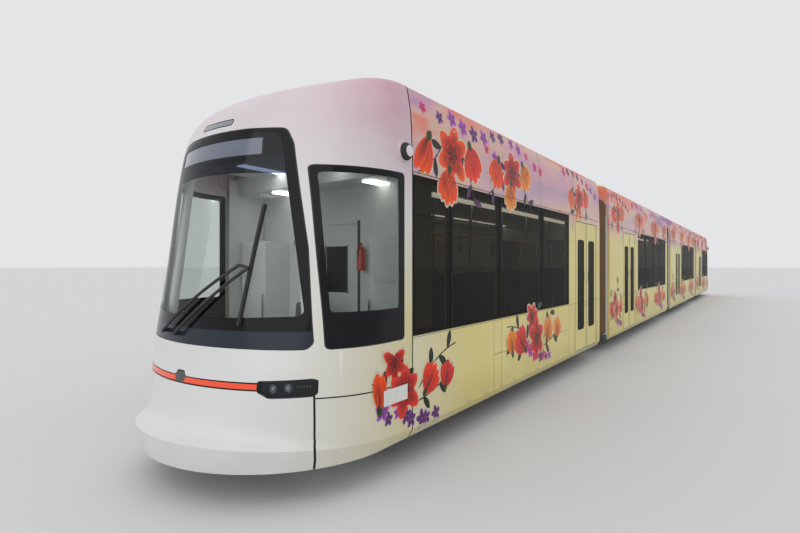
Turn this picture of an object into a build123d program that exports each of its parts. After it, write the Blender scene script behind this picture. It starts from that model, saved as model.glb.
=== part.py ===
from build123d import *
import math
import os

os.makedirs("parts", exist_ok=True)

# An articulated low-floor tram of four sections, two of them with a cab, in millimetres.
# +X points to the front cab, +Y to the left side, +Z up. The origin lies on the floor that the
# wheel flanges touch, in the middle of the tram. The tram looks the same when it is turned
# half round about the vertical line through the origin.

# Overall sizes
body_width = 2650
hinge_pitch = 9000
nose_reach = 8690
gangway_gap = 820
wall_thickness = 60
seat_gap = 0.3

# Heights above the rail head, which lies one flange height above the floor
flange_height = 28
rail = flange_height
skirt_bottom = rail + 260
fold_height = rail + 340
door_sill = rail + 345
floor_bottom = rail + 270
floor_top = rail + 360
band_bottom = rail + 1190
band_top = rail + 2670
wall_top = rail + 2700
roof_top = rail + 3550

# Bodyside
skirt_inset = 45
half_width = body_width / 2
inner_half_width = half_width - wall_thickness

# Windows: flush panes in a rebate of the wall, over smaller holes
glass_thickness = 8
pane_joint = 12
glass_border = 45

# Doors: two leaves that meet in the middle of each doorway
door_head = rail + 2600
leaf_thickness = 45
leaf_inset = 3
door_gap = 6
leaf_glass_width = 385
leaf_glass_bottom = rail + 700
leaf_glass_top = rail + 2280
leaf_glass_depth = 6
leaf_glass_radius = 70

# Roof: ceiling, two fairings with inward lips, an end plate at each end
ceiling_thickness = 80
fairing_thickness = 35
lip_half_opening = 990
lip_thickness = 30
end_plate_thickness = 30

# End frames around the gangway passage
end_frame_thickness = 60
passage_half_width = 720
passage_top = rail + 2350

# Gangway bellows
bellows_half_width = 1255
bellows_bottom = rail + 395
bellows_top = rail + 3240
bellows_wall = 110

# Articulation below the gangway floor
pivot_pin_radius = 45
pivot_clearance = 0.4
pivot_eye_radius = 130
fork_bottom = rail + 205
fork_plate = 38
tongue_plate = 44
tongue_clearance = 1.5
drawbar_half_width = 200
bridge_radius = 395
bridge_thickness = 25

# Running gear
wheel_base = 1800
wheel_radius = 300
wheel_width = 115
flange_width = 30
back_to_back = 1365
web_thickness = 26
hub_radius = 105
axle_radius = 60
journal_radius = 48
journal_clearance = 0.4
axle_half_length = 1010
axle_box_inner = 880
axle_box_half = 95

# Bogie frame
side_beam_inner = 880
side_beam_width = 120
side_beam_height = 110
transom_place = 350
transom_width = 180
transom_bottom = rail + 150
transom_clearance = 20
motor_half_length = 540
motor_height = 330
brake_half_length = 420
brake_height = 60
brake_lift = 45
spring_radius = 100
spring_place = 260

# Wheel boxes in the floor
wheel_box_half_length = 1290
wheel_box_inner = 600
wheel_box_outer = 1150
wheel_box_top = rail + 720
wheel_box_wall = 20
aisle_rise = 80
aisle_thickness = 40
ramp_length = 600

# Cab: distance of its rear seam from the bumper's tip, and of the bogie's middle behind that seam
cab_length = 1690
bogie_from_cab = 2340
cab_wall = 70
bulkhead_thickness = 50

# Windscreen outline, as half widths and heights
windscreen_bottom = rail + 1190
windscreen_top = rail + 2985

# Towing eye below each nose
tow_bore_radius = 22.5
tow_eye_radius = 58
tow_plate = 40
tow_drop = 62
tow_foot_length = 240
tow_reach = 1350

# Interior
seat_height = 420
seat_depth = 420
seat_cushion = 70
seat_back_height = 600
seat_back_thickness = 60
seat_lean = 50
seat_edge = 10
seat_wall_gap = 12
pole_radius = 17
pole_off_middle = 500
pole_end_clear = 500

# Cab furniture
bulkhead_setback = 400
bulkhead_gap = 10
driver_seat_width = 480
driver_seat_height = rail + 830
desk_half_width = 880
desk_top = rail + 1130

# Lamps and camera pods, on the nose and the cab's sides
lamp_depth = 60
pod_radius = 62
pod_reach = 70
pod_root = 25
pod_ahead = 113
pod_height = rail + 2850


def block(x, y, z):
    """A box between pairs of low and high values."""
    size = Box(x[1] - x[0], y[1] - y[0], z[1] - z[0])
    return Pos((x[0] + x[1]) / 2, (y[0] + y[1]) / 2, (z[0] + z[1]) / 2) * size


def along_x(points, x_low, x_high):
    """An outline of (y, z) points made into a bar along X."""
    face = Plane.YZ.offset(x_low) * Polygon(*points, align=None)
    return extrude(face, amount=x_high - x_low, dir=(1, 0, 0))


def along_y(points, y_low, y_high):
    """An outline of (x, z) points made into a bar along Y."""
    face = Plane.XZ.offset(-y_high) * Polygon(*points, align=None)
    return extrude(face, amount=y_high - y_low, dir=(0, -1, 0))


def upright(radius, z, x=0, y=0):
    """A round bar along Z."""
    return Pos(x, y, (z[0] + z[1]) / 2) * Cylinder(radius, z[1] - z[0])


def crosswise(radius, y, x, z):
    """A round bar along Y."""
    return Pos(x, (y[0] + y[1]) / 2, z) * Rot(90, 0, 0) * Cylinder(radius, y[1] - y[0])


def mirrored(points):
    """Adds the other half of an outline given as (y, z) points from y = 0 round to y = 0."""
    return points + [(-y, z) for y, z in reversed(points) if y != 0]


def turned(shape):
    """The same piece at the other end of the tram."""
    return Rot(0, 0, 180) * shape


def save(shapes, name):
    """Writes one node."""
    shapes = list(shapes)
    whole = shapes[0] if len(shapes) == 1 else Compound(children=shapes)
    whole.label = name
    export_step(whole, f"parts/{name}.step")


# Places along the tram
tip = hinge_pitch + nose_reach
cab_seam = tip - cab_length
end_clear = gangway_gap / 2
hinges = [hinge_pitch, 0, -hinge_pitch]

# Each section: number, rear end, front end, bogie centre
sections = [
    (1, hinge_pitch + end_clear, cab_seam, cab_seam - bogie_from_cab),
    (2, end_clear, hinge_pitch - end_clear, hinge_pitch / 2),
    (3, end_clear - hinge_pitch, -end_clear, -hinge_pitch / 2),
    (4, -cab_seam, -hinge_pitch - end_clear, bogie_from_cab - cab_seam),
]

# Each kind of bodyside: doorways and pane edges, as distances from the end it is counted from.
# The last pane ends a margin before the section's other end.
narrowest_pane = 500
end_length = cab_seam - hinge_pitch - end_clear
middle_length = hinge_pitch - gangway_gap
layouts = {
    "door_at_gangway": {"doors": [(260, 1600)], "panes": [1965, 3180, 4670, 5870], "last": end_length},
    "door_inboard": {"doors": [(1340, 2680)], "panes": [3050, 4300, 5580], "last": end_length},
    "middle": {"doors": [(1340, 2680)], "panes": [3050, 4260, 5470, 6680], "last": middle_length - 410},
}


def pane_edges(kind):
    """The pane edges of one bodyside, from its first pane to its last."""
    last = layouts[kind]["last"]
    return [edge for edge in layouts[kind]["panes"] if edge < last - narrowest_pane] + [last]


# Each bodyside: section, side, kind, end it is counted from, direction away from that end
bodysides = [
    (1, 1, "door_at_gangway", hinge_pitch + end_clear, 1),
    (2, 1, "middle", hinge_pitch - end_clear, -1),
    (3, 1, "middle", -end_clear, -1),
    (4, 1, "door_inboard", -hinge_pitch - end_clear, -1),
    (1, -1, "door_inboard", hinge_pitch + end_clear, 1),
    (2, -1, "middle", end_clear, 1),
    (3, -1, "middle", end_clear - hinge_pitch, 1),
    (4, -1, "door_at_gangway", -hinge_pitch - end_clear, -1),
]


def span(start, direction, low, high):
    """Two distances from an end, as low and high X."""
    ends = (start + direction * low, start + direction * high)
    return min(ends), max(ends)


def side_range(side, low, high):
    """Two distances from the middle, as low and high Y on one side."""
    return (low, high) if side > 0 else (-high, -low)


def side_wall(side, kind, start, direction, rear, front):
    """One bodyside with its doorways, window holes and the rebate that the panes lie in."""
    outline = [
        (inner_half_width, skirt_bottom),
        (half_width - skirt_inset, skirt_bottom),
        (half_width, fold_height),
        (half_width, wall_top),
        (inner_half_width, wall_top),
    ]
    if side < 0:
        outline = [(-y, z) for y, z in outline]
    wall = along_x(outline, rear, front)
    through = side_range(side, inner_half_width - 1, half_width + 1)
    for low, high in layouts[kind]["doors"]:
        wall -= block(span(start, direction, low, high), through, (door_sill, door_head))
    edges = pane_edges(kind)
    rebate = side_range(side, half_width - glass_thickness - seat_gap, half_width + 1)
    wall -= block(span(start, direction, edges[0], edges[-1]), rebate, (band_bottom, band_top))
    for low, high in zip(edges[:-1], edges[1:]):
        hole = span(start, direction, low + glass_border, high - glass_border)
        wall -= block(hole, through, (band_bottom + glass_border, band_top - glass_border))
    return wall


def side_panes(side, kind, start, direction):
    """The flush panes of one bodyside."""
    edges = pane_edges(kind)
    depth = side_range(side, half_width - glass_thickness, half_width)
    height = (band_bottom + seat_gap, band_top - seat_gap)
    half_joint = pane_joint / 2
    for low, high in zip(edges[:-1], edges[1:]):
        yield block(span(start, direction, low + half_joint, high - half_joint), depth, height)


def leaf_places(kind, start, direction):
    """Low and high X of each door leaf."""
    for low, high in layouts[kind]["doors"]:
        doorway = span(start, direction, low, high)
        middle = (doorway[0] + doorway[1]) / 2
        yield doorway[0] + door_gap, middle - door_gap / 2
        yield middle + door_gap / 2, doorway[1] - door_gap


def leaf_opening(leaf, depth, shrink):
    """The round-cornered glass shape of one door leaf, between two distances from the middle."""
    middle = (leaf[0] + leaf[1]) / 2
    width = leaf_glass_width - 2 * shrink
    height = leaf_glass_top - leaf_glass_bottom - 2 * shrink
    outline = RectangleRounded(width, height, leaf_glass_radius - shrink)
    centre = (middle, depth[1], (leaf_glass_bottom + leaf_glass_top) / 2)
    plane = Plane(origin=centre, x_dir=(1, 0, 0), z_dir=(0, -1, 0))
    return extrude(plane * outline, amount=depth[1] - depth[0], dir=(0, -1, 0))


def door_leaf(side, leaf):
    """One leaf with a hole for its glass and a rebate round it."""
    outer = half_width - leaf_inset
    panel = block(
        leaf,
        side_range(side, outer - leaf_thickness, outer),
        (door_sill + seat_gap, door_head - door_gap),
    )
    through = side_range(side, outer - leaf_thickness - 1, outer + 1)
    panel -= leaf_opening(leaf, through, glass_border / 2)
    rebate = side_range(side, outer - leaf_glass_depth - seat_gap, outer + 1)
    return panel - leaf_opening(leaf, rebate, 0)


def leaf_glass(side, leaf):
    """The pane of one door leaf."""
    outer = half_width - leaf_inset
    return leaf_opening(leaf, side_range(side, outer - leaf_glass_depth, outer), seat_gap)


def underframe(bogie, rear, front):
    """Floor with a raised aisle over the axles and wells for the wheels."""
    floor = block((rear, front), (-inner_half_width, inner_half_width), (floor_bottom, floor_top))
    box_x = (bogie - wheel_box_half_length, bogie + wheel_box_half_length)
    ramp_x = (box_x[0] - ramp_length, box_x[1] + ramp_length)
    well_x = (box_x[0] + wheel_box_wall, box_x[1] - wheel_box_wall)
    through = (floor_bottom - 1, floor_top + 1)
    floor -= block(ramp_x, (-wheel_box_inner, wheel_box_inner), through)
    well_half_width = wheel_box_outer - wheel_box_wall
    floor -= block(well_x, (-well_half_width, well_half_width), through)
    aisle_top = floor_top + aisle_rise
    aisle = [
        (ramp_x[0], floor_bottom),
        (ramp_x[0], floor_top),
        (box_x[0], aisle_top),
        (box_x[1], aisle_top),
        (ramp_x[1], floor_top),
        (ramp_x[1], floor_bottom),
        (box_x[1] + aisle_thickness, floor_bottom),
        (box_x[1], aisle_top - aisle_thickness),
        (box_x[0], aisle_top - aisle_thickness),
        (box_x[0] - aisle_thickness, floor_bottom),
    ]
    return floor + along_y(aisle, -wheel_box_inner, wheel_box_inner)


def wheel_box(bogie, side):
    """The open-bottomed box over one side's wheels, standing on the floor."""
    box_x = (bogie - wheel_box_half_length, bogie + wheel_box_half_length)
    well_x = (box_x[0] + wheel_box_wall, box_x[1] - wheel_box_wall)
    foot = floor_top + seat_gap
    inner = wheel_box_inner + seat_gap
    shell = block(box_x, side_range(side, inner, wheel_box_outer), (foot, wheel_box_top))
    shell -= block(
        well_x,
        side_range(side, inner + wheel_box_wall, wheel_box_outer - wheel_box_wall),
        (foot - 1, wheel_box_top - wheel_box_wall),
    )
    axle_slot = (foot - 1, floor_top + aisle_rise - aisle_thickness)
    return shell - block(well_x, side_range(side, inner - 1, inner + wheel_box_wall + 1), axle_slot)


fork_gap = tongue_plate + 2 * tongue_clearance
fork_top = fork_bottom + 2 * fork_plate + fork_gap
root_length = 300
root_step = 60


def drawbar_root(hinge, end, z):
    """The block that hangs below a floor's end and carries the articulation's plates."""
    out = 1 if hinge > end else -1
    below = sorted((end - out * root_length, end + out * root_step))
    beside = sorted((end + out * seat_gap, end + out * root_step))
    wide = (-drawbar_half_width, drawbar_half_width)
    return block(below, wide, (z[0], floor_bottom - seat_gap)) + block(beside, wide, z)


def articulation_half(hinge, half, end):
    """The fork with its pin and the gangway floor's bridge, or the tongue with its bore."""
    out = 1 if hinge > end else -1
    reach = sorted((end + out * seat_gap, hinge))
    beyond = sorted((hinge, hinge + out * 1000))
    if half == "tongue":
        z = (fork_bottom + fork_plate + tongue_clearance, fork_top - fork_plate - tongue_clearance)
        bar = block(reach, (-drawbar_half_width / 2, drawbar_half_width / 2), z)
        bar += upright(pivot_eye_radius, z, hinge)
        bar -= upright(pivot_pin_radius + pivot_clearance, (z[0] - 1, z[1] + 1), hinge)
        return bar + drawbar_root(hinge, end, z)
    fork = drawbar_root(hinge, end, (fork_bottom, fork_top))
    for low in (fork_bottom, fork_top - fork_plate):
        z = (low, low + fork_plate)
        plate = block(reach, (-drawbar_half_width, drawbar_half_width), z)
        plate -= block(beyond, (-drawbar_half_width - 1, drawbar_half_width + 1), (z[0] - 1, z[1] + 1))
        fork += plate + upright(pivot_eye_radius, z, hinge)
    fork += upright(pivot_pin_radius, (fork_bottom, fork_top), hinge)
    bridge_z = (floor_top - bridge_thickness, floor_top)
    fork += upright(bridge_radius, bridge_z, hinge)
    fork += block(reach, (-bridge_radius, bridge_radius), bridge_z)
    return fork + upright(pivot_eye_radius, (fork_top, bridge_z[0]), hinge)


# Shoulder between bodyside and roof: drop below the roof's top, inset from the bodyside
shoulder = [
    (480, 12),
    (310, 22),
    (185, 43),
    (65, 71),
    (30, 130),
    (0, 265),
]
fairing = [(half_width, wall_top)] + [(half_width - inset, roof_top - drop) for drop, inset in shoulder]
ceiling_top = wall_top + ceiling_thickness


def roof(rear, front):
    """Ceiling, fairings with lips and end plates, in one piece."""
    inner = [(y - fairing_thickness, z - (lip_thickness if z == roof_top else 0)) for y, z in fairing]
    inner[0] = (inner[0][0], ceiling_top)
    half = (
        [(0, wall_top)]
        + fairing
        + [(lip_half_opening, roof_top), (lip_half_opening, roof_top - lip_thickness)]
        + list(reversed(inner))
        + [(0, ceiling_top)]
    )
    shell = along_x(mirrored(half), rear, front)
    plate = mirrored([(0, ceiling_top)] + inner + [(0, roof_top - lip_thickness)])
    shell += along_x(plate, rear, rear + end_plate_thickness)
    shell += along_x(plate, front - end_plate_thickness, front)
    return shell


# Roof gear of each section: share of the row's length, half width, height, fans on it
gear_rows = [
    {"share": 0.43, "half_width": 900, "height": 520, "fans": 3},
    {"share": 0.32, "half_width": 850, "height": 430, "fans": 0},
    {"share": 0.25, "half_width": 900, "height": 480, "fans": 2},
]
gear_gap = 250
gear_end_gap = 370
gear_chamfer = 40
fan_radius = 235
fan_height = 40


def roof_gear(rear, front):
    """A row of closed units on the ceiling, between the fairings."""
    room = front - rear - 2 * gear_end_gap - gear_gap * (len(gear_rows) - 1)
    place = rear + gear_end_gap
    for row in gear_rows:
        ends = (place, place + row["share"] * room)
        top = ceiling_top + row["height"]
        unit = block(ends, (-row["half_width"], row["half_width"]), (ceiling_top, top))
        unit = chamfer(unit.edges().group_by(Axis.Z)[-1], gear_chamfer)
        for number in range(row["fans"]):
            x = ends[0] + (ends[1] - ends[0]) * (number + 0.5) / row["fans"]
            unit += upright(fan_radius, (top, top + fan_height), x)
        yield unit
        place = ends[1] + gear_gap


def end_frame(low, high):
    """The portal that the bellows are fastened to."""
    frame = block((low, high), (-inner_half_width, inner_half_width), (floor_top, wall_top))
    return frame - block((low - 1, high + 1), (-passage_half_width, passage_half_width), (floor_top - 1, passage_top))


def bellows(hinge):
    """The bellows as a closed solid ring around the passage."""
    low = hinge - end_clear + seat_gap
    high = hinge + end_clear - seat_gap
    outer = block((low, high), (-bellows_half_width, bellows_half_width), (bellows_bottom, bellows_top))
    inner = block(
        (low - 1, high + 1),
        (bellows_wall - bellows_half_width, bellows_half_width - bellows_wall),
        (bellows_bottom - 1, bellows_top - 2 * bellows_wall),
    )
    return outer - inner


def wheelset(x):
    """Axle and two flanged wheels."""
    height = rail + wheel_radius
    axle = crosswise(axle_radius, (-axle_box_inner + 5, axle_box_inner - 5), x, height)
    axle += crosswise(journal_radius, (-axle_half_length, axle_half_length), x, height)
    inner = back_to_back / 2
    for side in (1, -1):
        tread = crosswise(wheel_radius, side_range(side, inner, inner + wheel_width), x, height)
        tread += crosswise(wheel_radius + flange_height, side_range(side, inner, inner + flange_width), x, height)
        dish = wheel_radius - 60
        middle = inner + wheel_width / 2
        for face in (
            (inner - 1, middle - web_thickness / 2),
            (middle + web_thickness / 2, inner + wheel_width + 1),
        ):
            ring = crosswise(dish, side_range(side, *face), x, height)
            tread -= ring - crosswise(hub_radius, side_range(side, *face), x, height)
        axle += tread
    return axle


def bogie_frame(x):
    """Two side beams outside the wheels, two transoms, motors, springs and track brakes."""
    axle_height = rail + wheel_radius
    beam_z = (axle_height - side_beam_height / 2, axle_height + side_beam_height / 2)
    half_base = wheel_base / 2
    transom_z = (transom_bottom, floor_bottom - transom_clearance)
    frame = None
    for place in (-transom_place, transom_place):
        bar = block(
            (x + place - transom_width / 2, x + place + transom_width / 2),
            (-side_beam_inner - side_beam_width, side_beam_inner + side_beam_width),
            transom_z,
        )
        frame = bar if frame is None else frame + bar
    for side in (1, -1):
        beam_y = side_range(side, side_beam_inner, side_beam_inner + side_beam_width)
        frame += block((x - half_base, x + half_base), beam_y, beam_z)
        motor_y = side_range(side, back_to_back / 2 - 50, side_beam_inner + 1)
        motor_z = (transom_bottom, transom_bottom + motor_height)
        frame += block((x - motor_half_length, x + motor_half_length), motor_y, motor_z)
        for place in (-spring_place, spring_place):
            middle = side * (side_beam_inner + side_beam_width / 2)
            frame += upright(spring_radius, (beam_z[1], wheel_box_top - wheel_box_wall), x + place, middle)
        rail_y = side_range(side, back_to_back / 2, back_to_back / 2 + 70)
        brake_z = (rail + brake_lift, rail + brake_lift + brake_height)
        frame += block((x - brake_half_length, x + brake_half_length), rail_y, brake_z)
        for place in (-transom_place, transom_place):
            frame += block((x + place - 30, x + place + 30), rail_y, (brake_z[1], transom_z[0]))
        for place in (-half_base, half_base):
            frame += block(
                (x + place - axle_box_half, x + place + axle_box_half),
                beam_y,
                (axle_height - axle_box_half, axle_height + axle_box_half),
            )
    for place in (-half_base, half_base):
        frame -= crosswise(
            journal_radius + journal_clearance, (-axle_half_length - 50, axle_half_length + 50), x + place, axle_height
        )
    return frame


def seat_pair(side, x, facing, base):
    """A double seat on its pedestal over a wheel box, facing along X."""
    back = x - facing * seat_depth / 2
    inside = x + facing * seat_depth / 2
    top = base + seat_height
    outline = [
        (back, base),
        (x + facing * 60, base),
        (x + facing * 60, top - seat_cushion),
        (inside, top - seat_cushion),
        (inside, top),
        (back, top),
        (back - facing * seat_lean, top + seat_back_height),
        (back - facing * (seat_lean + seat_back_thickness), top + seat_back_height),
        (back - facing * seat_back_thickness, top - seat_cushion),
        (back, top - seat_cushion),
    ]
    low, high = side_range(side, wheel_box_inner + seat_edge, inner_half_width - seat_wall_gap)
    return along_y(outline, low, high)


# Seats of each bogie: distance from the bogie centre, facing
seat_rows = [(-930, 1), (-330, -1), (330, 1), (930, -1)]

# Grab poles of each section: distance from the bogie centre
pole_places = [-2250, -650, 650, 2250]


def interior(rear, front, bogie):
    """Seats over the wheel boxes and grab poles from floor to ceiling."""
    for side in (1, -1):
        for place, facing in seat_rows:
            yield seat_pair(side, bogie + place, facing, wheel_box_top)
    for place in pole_places:
        x = bogie + place
        if rear + pole_end_clear < x < front - pole_end_clear:
            foot = floor_top + (aisle_rise if abs(place) < wheel_box_half_length else 0)
            side = 1 if place * bogie > 0 else -1
            yield upright(pole_radius, (foot, wall_top), x, side * pole_off_middle)


# Cab levels: height, reach of the middle ahead of the seam and end of the straight side as shares
# of the cab's length, inset from the bodyside, corner radius as a share of the rounded depth,
# rise of the level for each mm ahead
cab_levels = [
    (skirt_bottom, 0.976, 0.266, skirt_inset, 0.775, 0),
    (fold_height, 1, 0.266, 0, 0.774, 0.076),
    (rail + 560, 0.914, 0.266, 0, 0.858, 0),
    (rail + 900, 0.876, 0.266, 0, 0.903, 0),
    (rail + 1250, 0.84, 0.237, 0, 0.912, 0),
    (rail + 1950, 0.79, 0.154, 0, 0.893, 0),
    (wall_top, 0.722, 0.089, 0, 0.888, 0),
]
upper_levels = [
    (0.669, 0.059, 0.864),
    (0.598, 0.047, 0.817),
    (0.503, 0.036, 0.759),
    (0.355, 0.024, 0.714),
    (0.284, 0.018, 0.733),
    (0.195, 0.012, 0.774),
]
for (drop, inset), (reach, straight, corner) in zip(shoulder, upper_levels):
    cab_levels.append((roof_top - drop, reach, straight, inset, corner, 0))


def cab_level(height):
    """Reach, end of the straight side, half width, corner radius and rise at any height."""
    for low, high in zip(cab_levels[:-1], cab_levels[1:]):
        if low[0] <= height <= high[0]:
            share = (height - low[0]) / (high[0] - low[0])
            reach, straight, inset, corner, rise = [a + share * (b - a) for a, b in zip(low[1:], high[1:])]
            depth = cab_length * (reach - straight)
            return cab_length * reach, cab_length * straight, half_width - inset, corner * depth, rise
    raise ValueError("no cab at this height")


def cab_outline(height, inset, level_rise=True):
    """One level of the cab as a face: straight sides, two corner arcs and a front arc."""
    reach, straight, half, corner, rise = cab_level(height)
    rise = rise if level_rise else 0
    reach -= inset
    half -= inset
    corner -= inset
    depth = reach - straight
    front = (depth**2 + (half - corner) ** 2 - corner**2) / (2 * (depth - corner))
    front_centre = (straight + depth - front, 0)
    corner_centre = (straight, half - corner)
    away = math.atan2(corner_centre[1] - front_centre[1], corner_centre[0] - front_centre[0])
    meet = (front_centre[0] + front * math.cos(away), front * math.sin(away))
    bend = (away + math.pi / 2) / 2
    middle = (corner_centre[0] + corner * math.cos(bend), corner_centre[1] + corner * math.sin(bend))

    def at(point, side=1):
        return (point[0], side * point[1])

    rear = (0, half)
    end = (straight, half)
    edges = [
        Line(at(rear), at(end)),
        ThreePointArc(at(end), at(middle), at(meet)),
        ThreePointArc(at(meet), at((reach, 0)), at(meet, -1)),
        ThreePointArc(at(meet, -1), at(middle, -1), at(end, -1)),
        Line(at(end, -1), at(rear, -1)),
        Line(at(rear, -1), at(rear)),
    ]
    tilted = Plane(origin=(cab_seam, 0, height), x_dir=(1, 0, rise), z_dir=(-rise, 0, 1))
    return tilted * make_face(edges)


def cab_solid(heights, inset, level_rise=False):
    """The cab's form between the first and last height, pulled in by an inset."""
    return loft([cab_outline(height, inset, level_rise) for height in heights], ruled=True)


cab_heights = [level[0] for level in cab_levels]
cab_ceiling_drop = 60
room_top = wall_top - cab_ceiling_drop
room_heights = [floor_top] + [height for height in cab_heights if floor_top < height < room_top] + [room_top]

# Empty space between the cab's ceiling and its roof skin
loft_inset = 80
loft_bottom = wall_top + 20
loft_top = roof_top - 110
loft_heights = [loft_bottom] + [height for height in cab_heights if loft_bottom < height < loft_top] + [loft_top]

# Half of the windscreen, seen from the front
windscreen_half = [
    (0, windscreen_top),
    (690, windscreen_top - 15),
    (800, rail + 2860),
    (860, rail + 2600),
    (990, rail + 2000),
    (1095, rail + 1260),
    (1060, windscreen_bottom),
    (0, windscreen_bottom),
]

# The cab's side window, seen from the left, ahead of the seam
side_window = [
    (140, rail + 1200),
    (940, rail + 1200),
    (910, rail + 2640),
    (140, rail + 2640),
]
window_margin = 30


def shrunk(points, margin):
    """An outline pulled in towards its middle by about a margin."""
    middle_y = sum(p[0] for p in points) / len(points)
    middle_z = sum(p[1] for p in points) / len(points)
    result = []
    for a, b in points:
        step_a = margin if a < middle_y else -margin
        step_b = margin if b < middle_z else -margin
        result.append((a + step_a, b + step_b))
    return result


cab_form = cab_solid(cab_heights, 0, True)
skin_heights = cab_heights[2:8]
glass_form = cab_form - cab_solid(skin_heights, glass_thickness)


def windscreen_prism(margin):
    """A bar along X through the windscreen's outline."""
    middle = (windscreen_bottom + windscreen_top) / 2
    half = [(max(y - margin, 0), z - math.copysign(margin, z - middle)) for y, z in windscreen_half]
    outline = half + [(-y, z) for y, z in reversed(half) if y]
    return along_x(outline, cab_seam + 500, tip + 100)


def side_window_prism(side, margin):
    """A bar along Y through the side window's outline."""
    points = [(cab_seam + x, z) for x, z in shrunk(side_window, margin)]
    return along_y(points, *side_range(side, 700, half_width + 50))


# Headlamp housing seen from the front: distance from the middle, height
lamp_outline = [
    (770, rail + 845),
    (800, rail + 825),
    (1110, rail + 825),
    (1110, rail + 935),
    (770, rail + 935),
]


def lamp_prism(side, margin):
    """A bar along X through one headlamp's outline."""
    points = [(side * y, z) for y, z in shrunk(lamp_outline, margin)]
    return along_x(points, cab_seam + 600, tip + 100)


def cab_lamps():
    """Two headlamp housings let into the nose and a camera pod on each cab side."""
    skin = cab_form - cab_solid(skin_heights, lamp_depth - seat_gap)
    for side in (1, -1):
        yield skin & lamp_prism(side, seat_gap)
        reach = side_range(side, half_width - pod_root, half_width + pod_reach)
        pod = crosswise(pod_radius, reach, cab_seam + pod_ahead, pod_height)
        outer = pod.faces().sort_by(Axis.Y)[-1 if side > 0 else 0]
        yield chamfer(outer.edges(), 14)


def cab_fittings():
    """Bulkhead with a window in its door, driver's desk and seat."""
    end = cab_seam - bulkhead_setback
    wide = inner_half_width - bulkhead_gap
    bulkhead = block((end - bulkhead_thickness, end), (-wide, wide), (floor_top, wall_top))
    yield bulkhead - block((end - bulkhead_thickness - 1, end + 1), (-250, 250), (rail + 1300, rail + 2200))
    desk = [
        (cab_seam + 780, floor_top),
        (cab_seam + 1040, floor_top),
        (cab_seam + 1090, desk_top - 60),
        (cab_seam + 620, desk_top),
        (cab_seam + 610, desk_top - 60),
        (cab_seam + 780, desk_top - 140),
    ]
    yield along_y(desk, -desk_half_width, desk_half_width)
    half = driver_seat_width / 2
    seat = upright(110, (floor_top, driver_seat_height - 90), cab_seam + 250)
    seat += block((cab_seam, cab_seam + 480), (-half, half), (driver_seat_height - 90, driver_seat_height))
    seat += block((cab_seam - 60, cab_seam + 30), (-half, half), (driver_seat_height - 90, driver_seat_height + 680))
    yield seat


wiper_range = (cab_seam + 700, tip + 100)


def round_bar(point, radius):
    """A round bar along X at a (y, z) point."""
    length = wiper_range[1] - wiper_range[0]
    return Pos(wiper_range[0] + length / 2, *point) * Rot(0, 90, 0) * Cylinder(radius, length)


def strip(low, high, width):
    """A bar along X whose outline is a strip between two (y, z) points, round at both ends."""
    along = math.atan2(high[1] - low[1], high[0] - low[0])
    side = (-math.sin(along) * width / 2, math.cos(along) * width / 2)
    corners = [(y + sign * side[0], z + sign * side[1]) for (y, z), sign in ((low, 1), (high, 1), (high, -1), (low, -1))]
    return along_x(corners, *wiper_range) + round_bar(low, width / 2) + round_bar(high, width / 2)


def over_glass(near, far):
    """The space between two distances ahead of the windscreen."""
    return cab_solid(skin_heights, -far) - cab_solid(skin_heights, -near)


# Wiper: two arms from their spindles to the carrier, and the blade, as (y, z) ends
wiper_arms = [
    ((-350, rail + 1270), (545, rail + 1840)),
    ((-120, rail + 1262), (600, rail + 1800)),
]
wiper_carrier = ((545, rail + 1840), (622, rail + 1820))
wiper_blade = ((576, rail + 1370), (669, rail + 2320))
arm_width = 20
arm_layer = (36, 52)
blade_width = 18
blade_layer = (6, 30)
spindle_radius = 18


def cab_wiper():
    """The pantograph wiper as one piece, standing off the windscreen on its two spindles."""
    arms = strip(*wiper_carrier, arm_width) + strip(wiper_arms[1][1], wiper_carrier[1], arm_width)
    for arm in wiper_arms:
        arms += strip(*arm, arm_width)
    wiper = over_glass(*arm_layer) & arms
    wiper += over_glass(*blade_layer) & strip(*wiper_blade, blade_width)
    wiper += over_glass(blade_layer[0], arm_layer[1]) & round_bar(wiper_carrier[1], arm_width / 2)
    for spindle, _ in wiper_arms:
        wiper += over_glass(seat_gap, arm_layer[1]) & round_bar(spindle, spindle_radius)
    return wiper


def towing_eye():
    """The upright plate with a crosswise bore for the towing bar's pin, below the cab floor."""
    x = cab_seam + tow_reach
    z = skirt_bottom - tow_drop
    plate = (-tow_plate / 2, tow_plate / 2)
    eye = crosswise(tow_eye_radius, plate, x, z)
    eye += along_y(
        [
            (x - tow_foot_length, skirt_bottom),
            (x - tow_eye_radius / 2, z - tow_eye_radius * math.sqrt(3) / 2),
            (x + tow_eye_radius, z),
            (x + tow_eye_radius, skirt_bottom),
        ],
        *plate,
    )
    return eye - crosswise(tow_bore_radius, (plate[0] - 1, plate[1] + 1), x, z)


def cab_shell():
    """The nose with its cab room hollow and its window openings cut."""
    shell = cab_form - cab_solid(room_heights, cab_wall)
    shell -= cab_solid(loft_heights, loft_inset)
    pane_space = cab_form - cab_solid(skin_heights, glass_thickness + seat_gap)
    shell -= windscreen_prism(window_margin)
    lamp_space = cab_form - cab_solid(skin_heights, lamp_depth)
    for side in (1, -1):
        shell -= side_window_prism(side, window_margin)
        shell -= pane_space & side_window_prism(side, 0)
        shell -= lamp_space & lamp_prism(side, 0)
        socket = side_range(side, half_width - pod_root - seat_gap, half_width + pod_reach)
        shell -= crosswise(pod_radius + seat_gap, socket, cab_seam + pod_ahead, pod_height)
    return shell - (pane_space & windscreen_prism(0))


def cab_glass():
    """Windscreen and the two side panes, flush in their rebates."""
    yield glass_form & windscreen_prism(seat_gap)
    for side in (1, -1):
        yield glass_form & side_window_prism(side, seat_gap)


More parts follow.
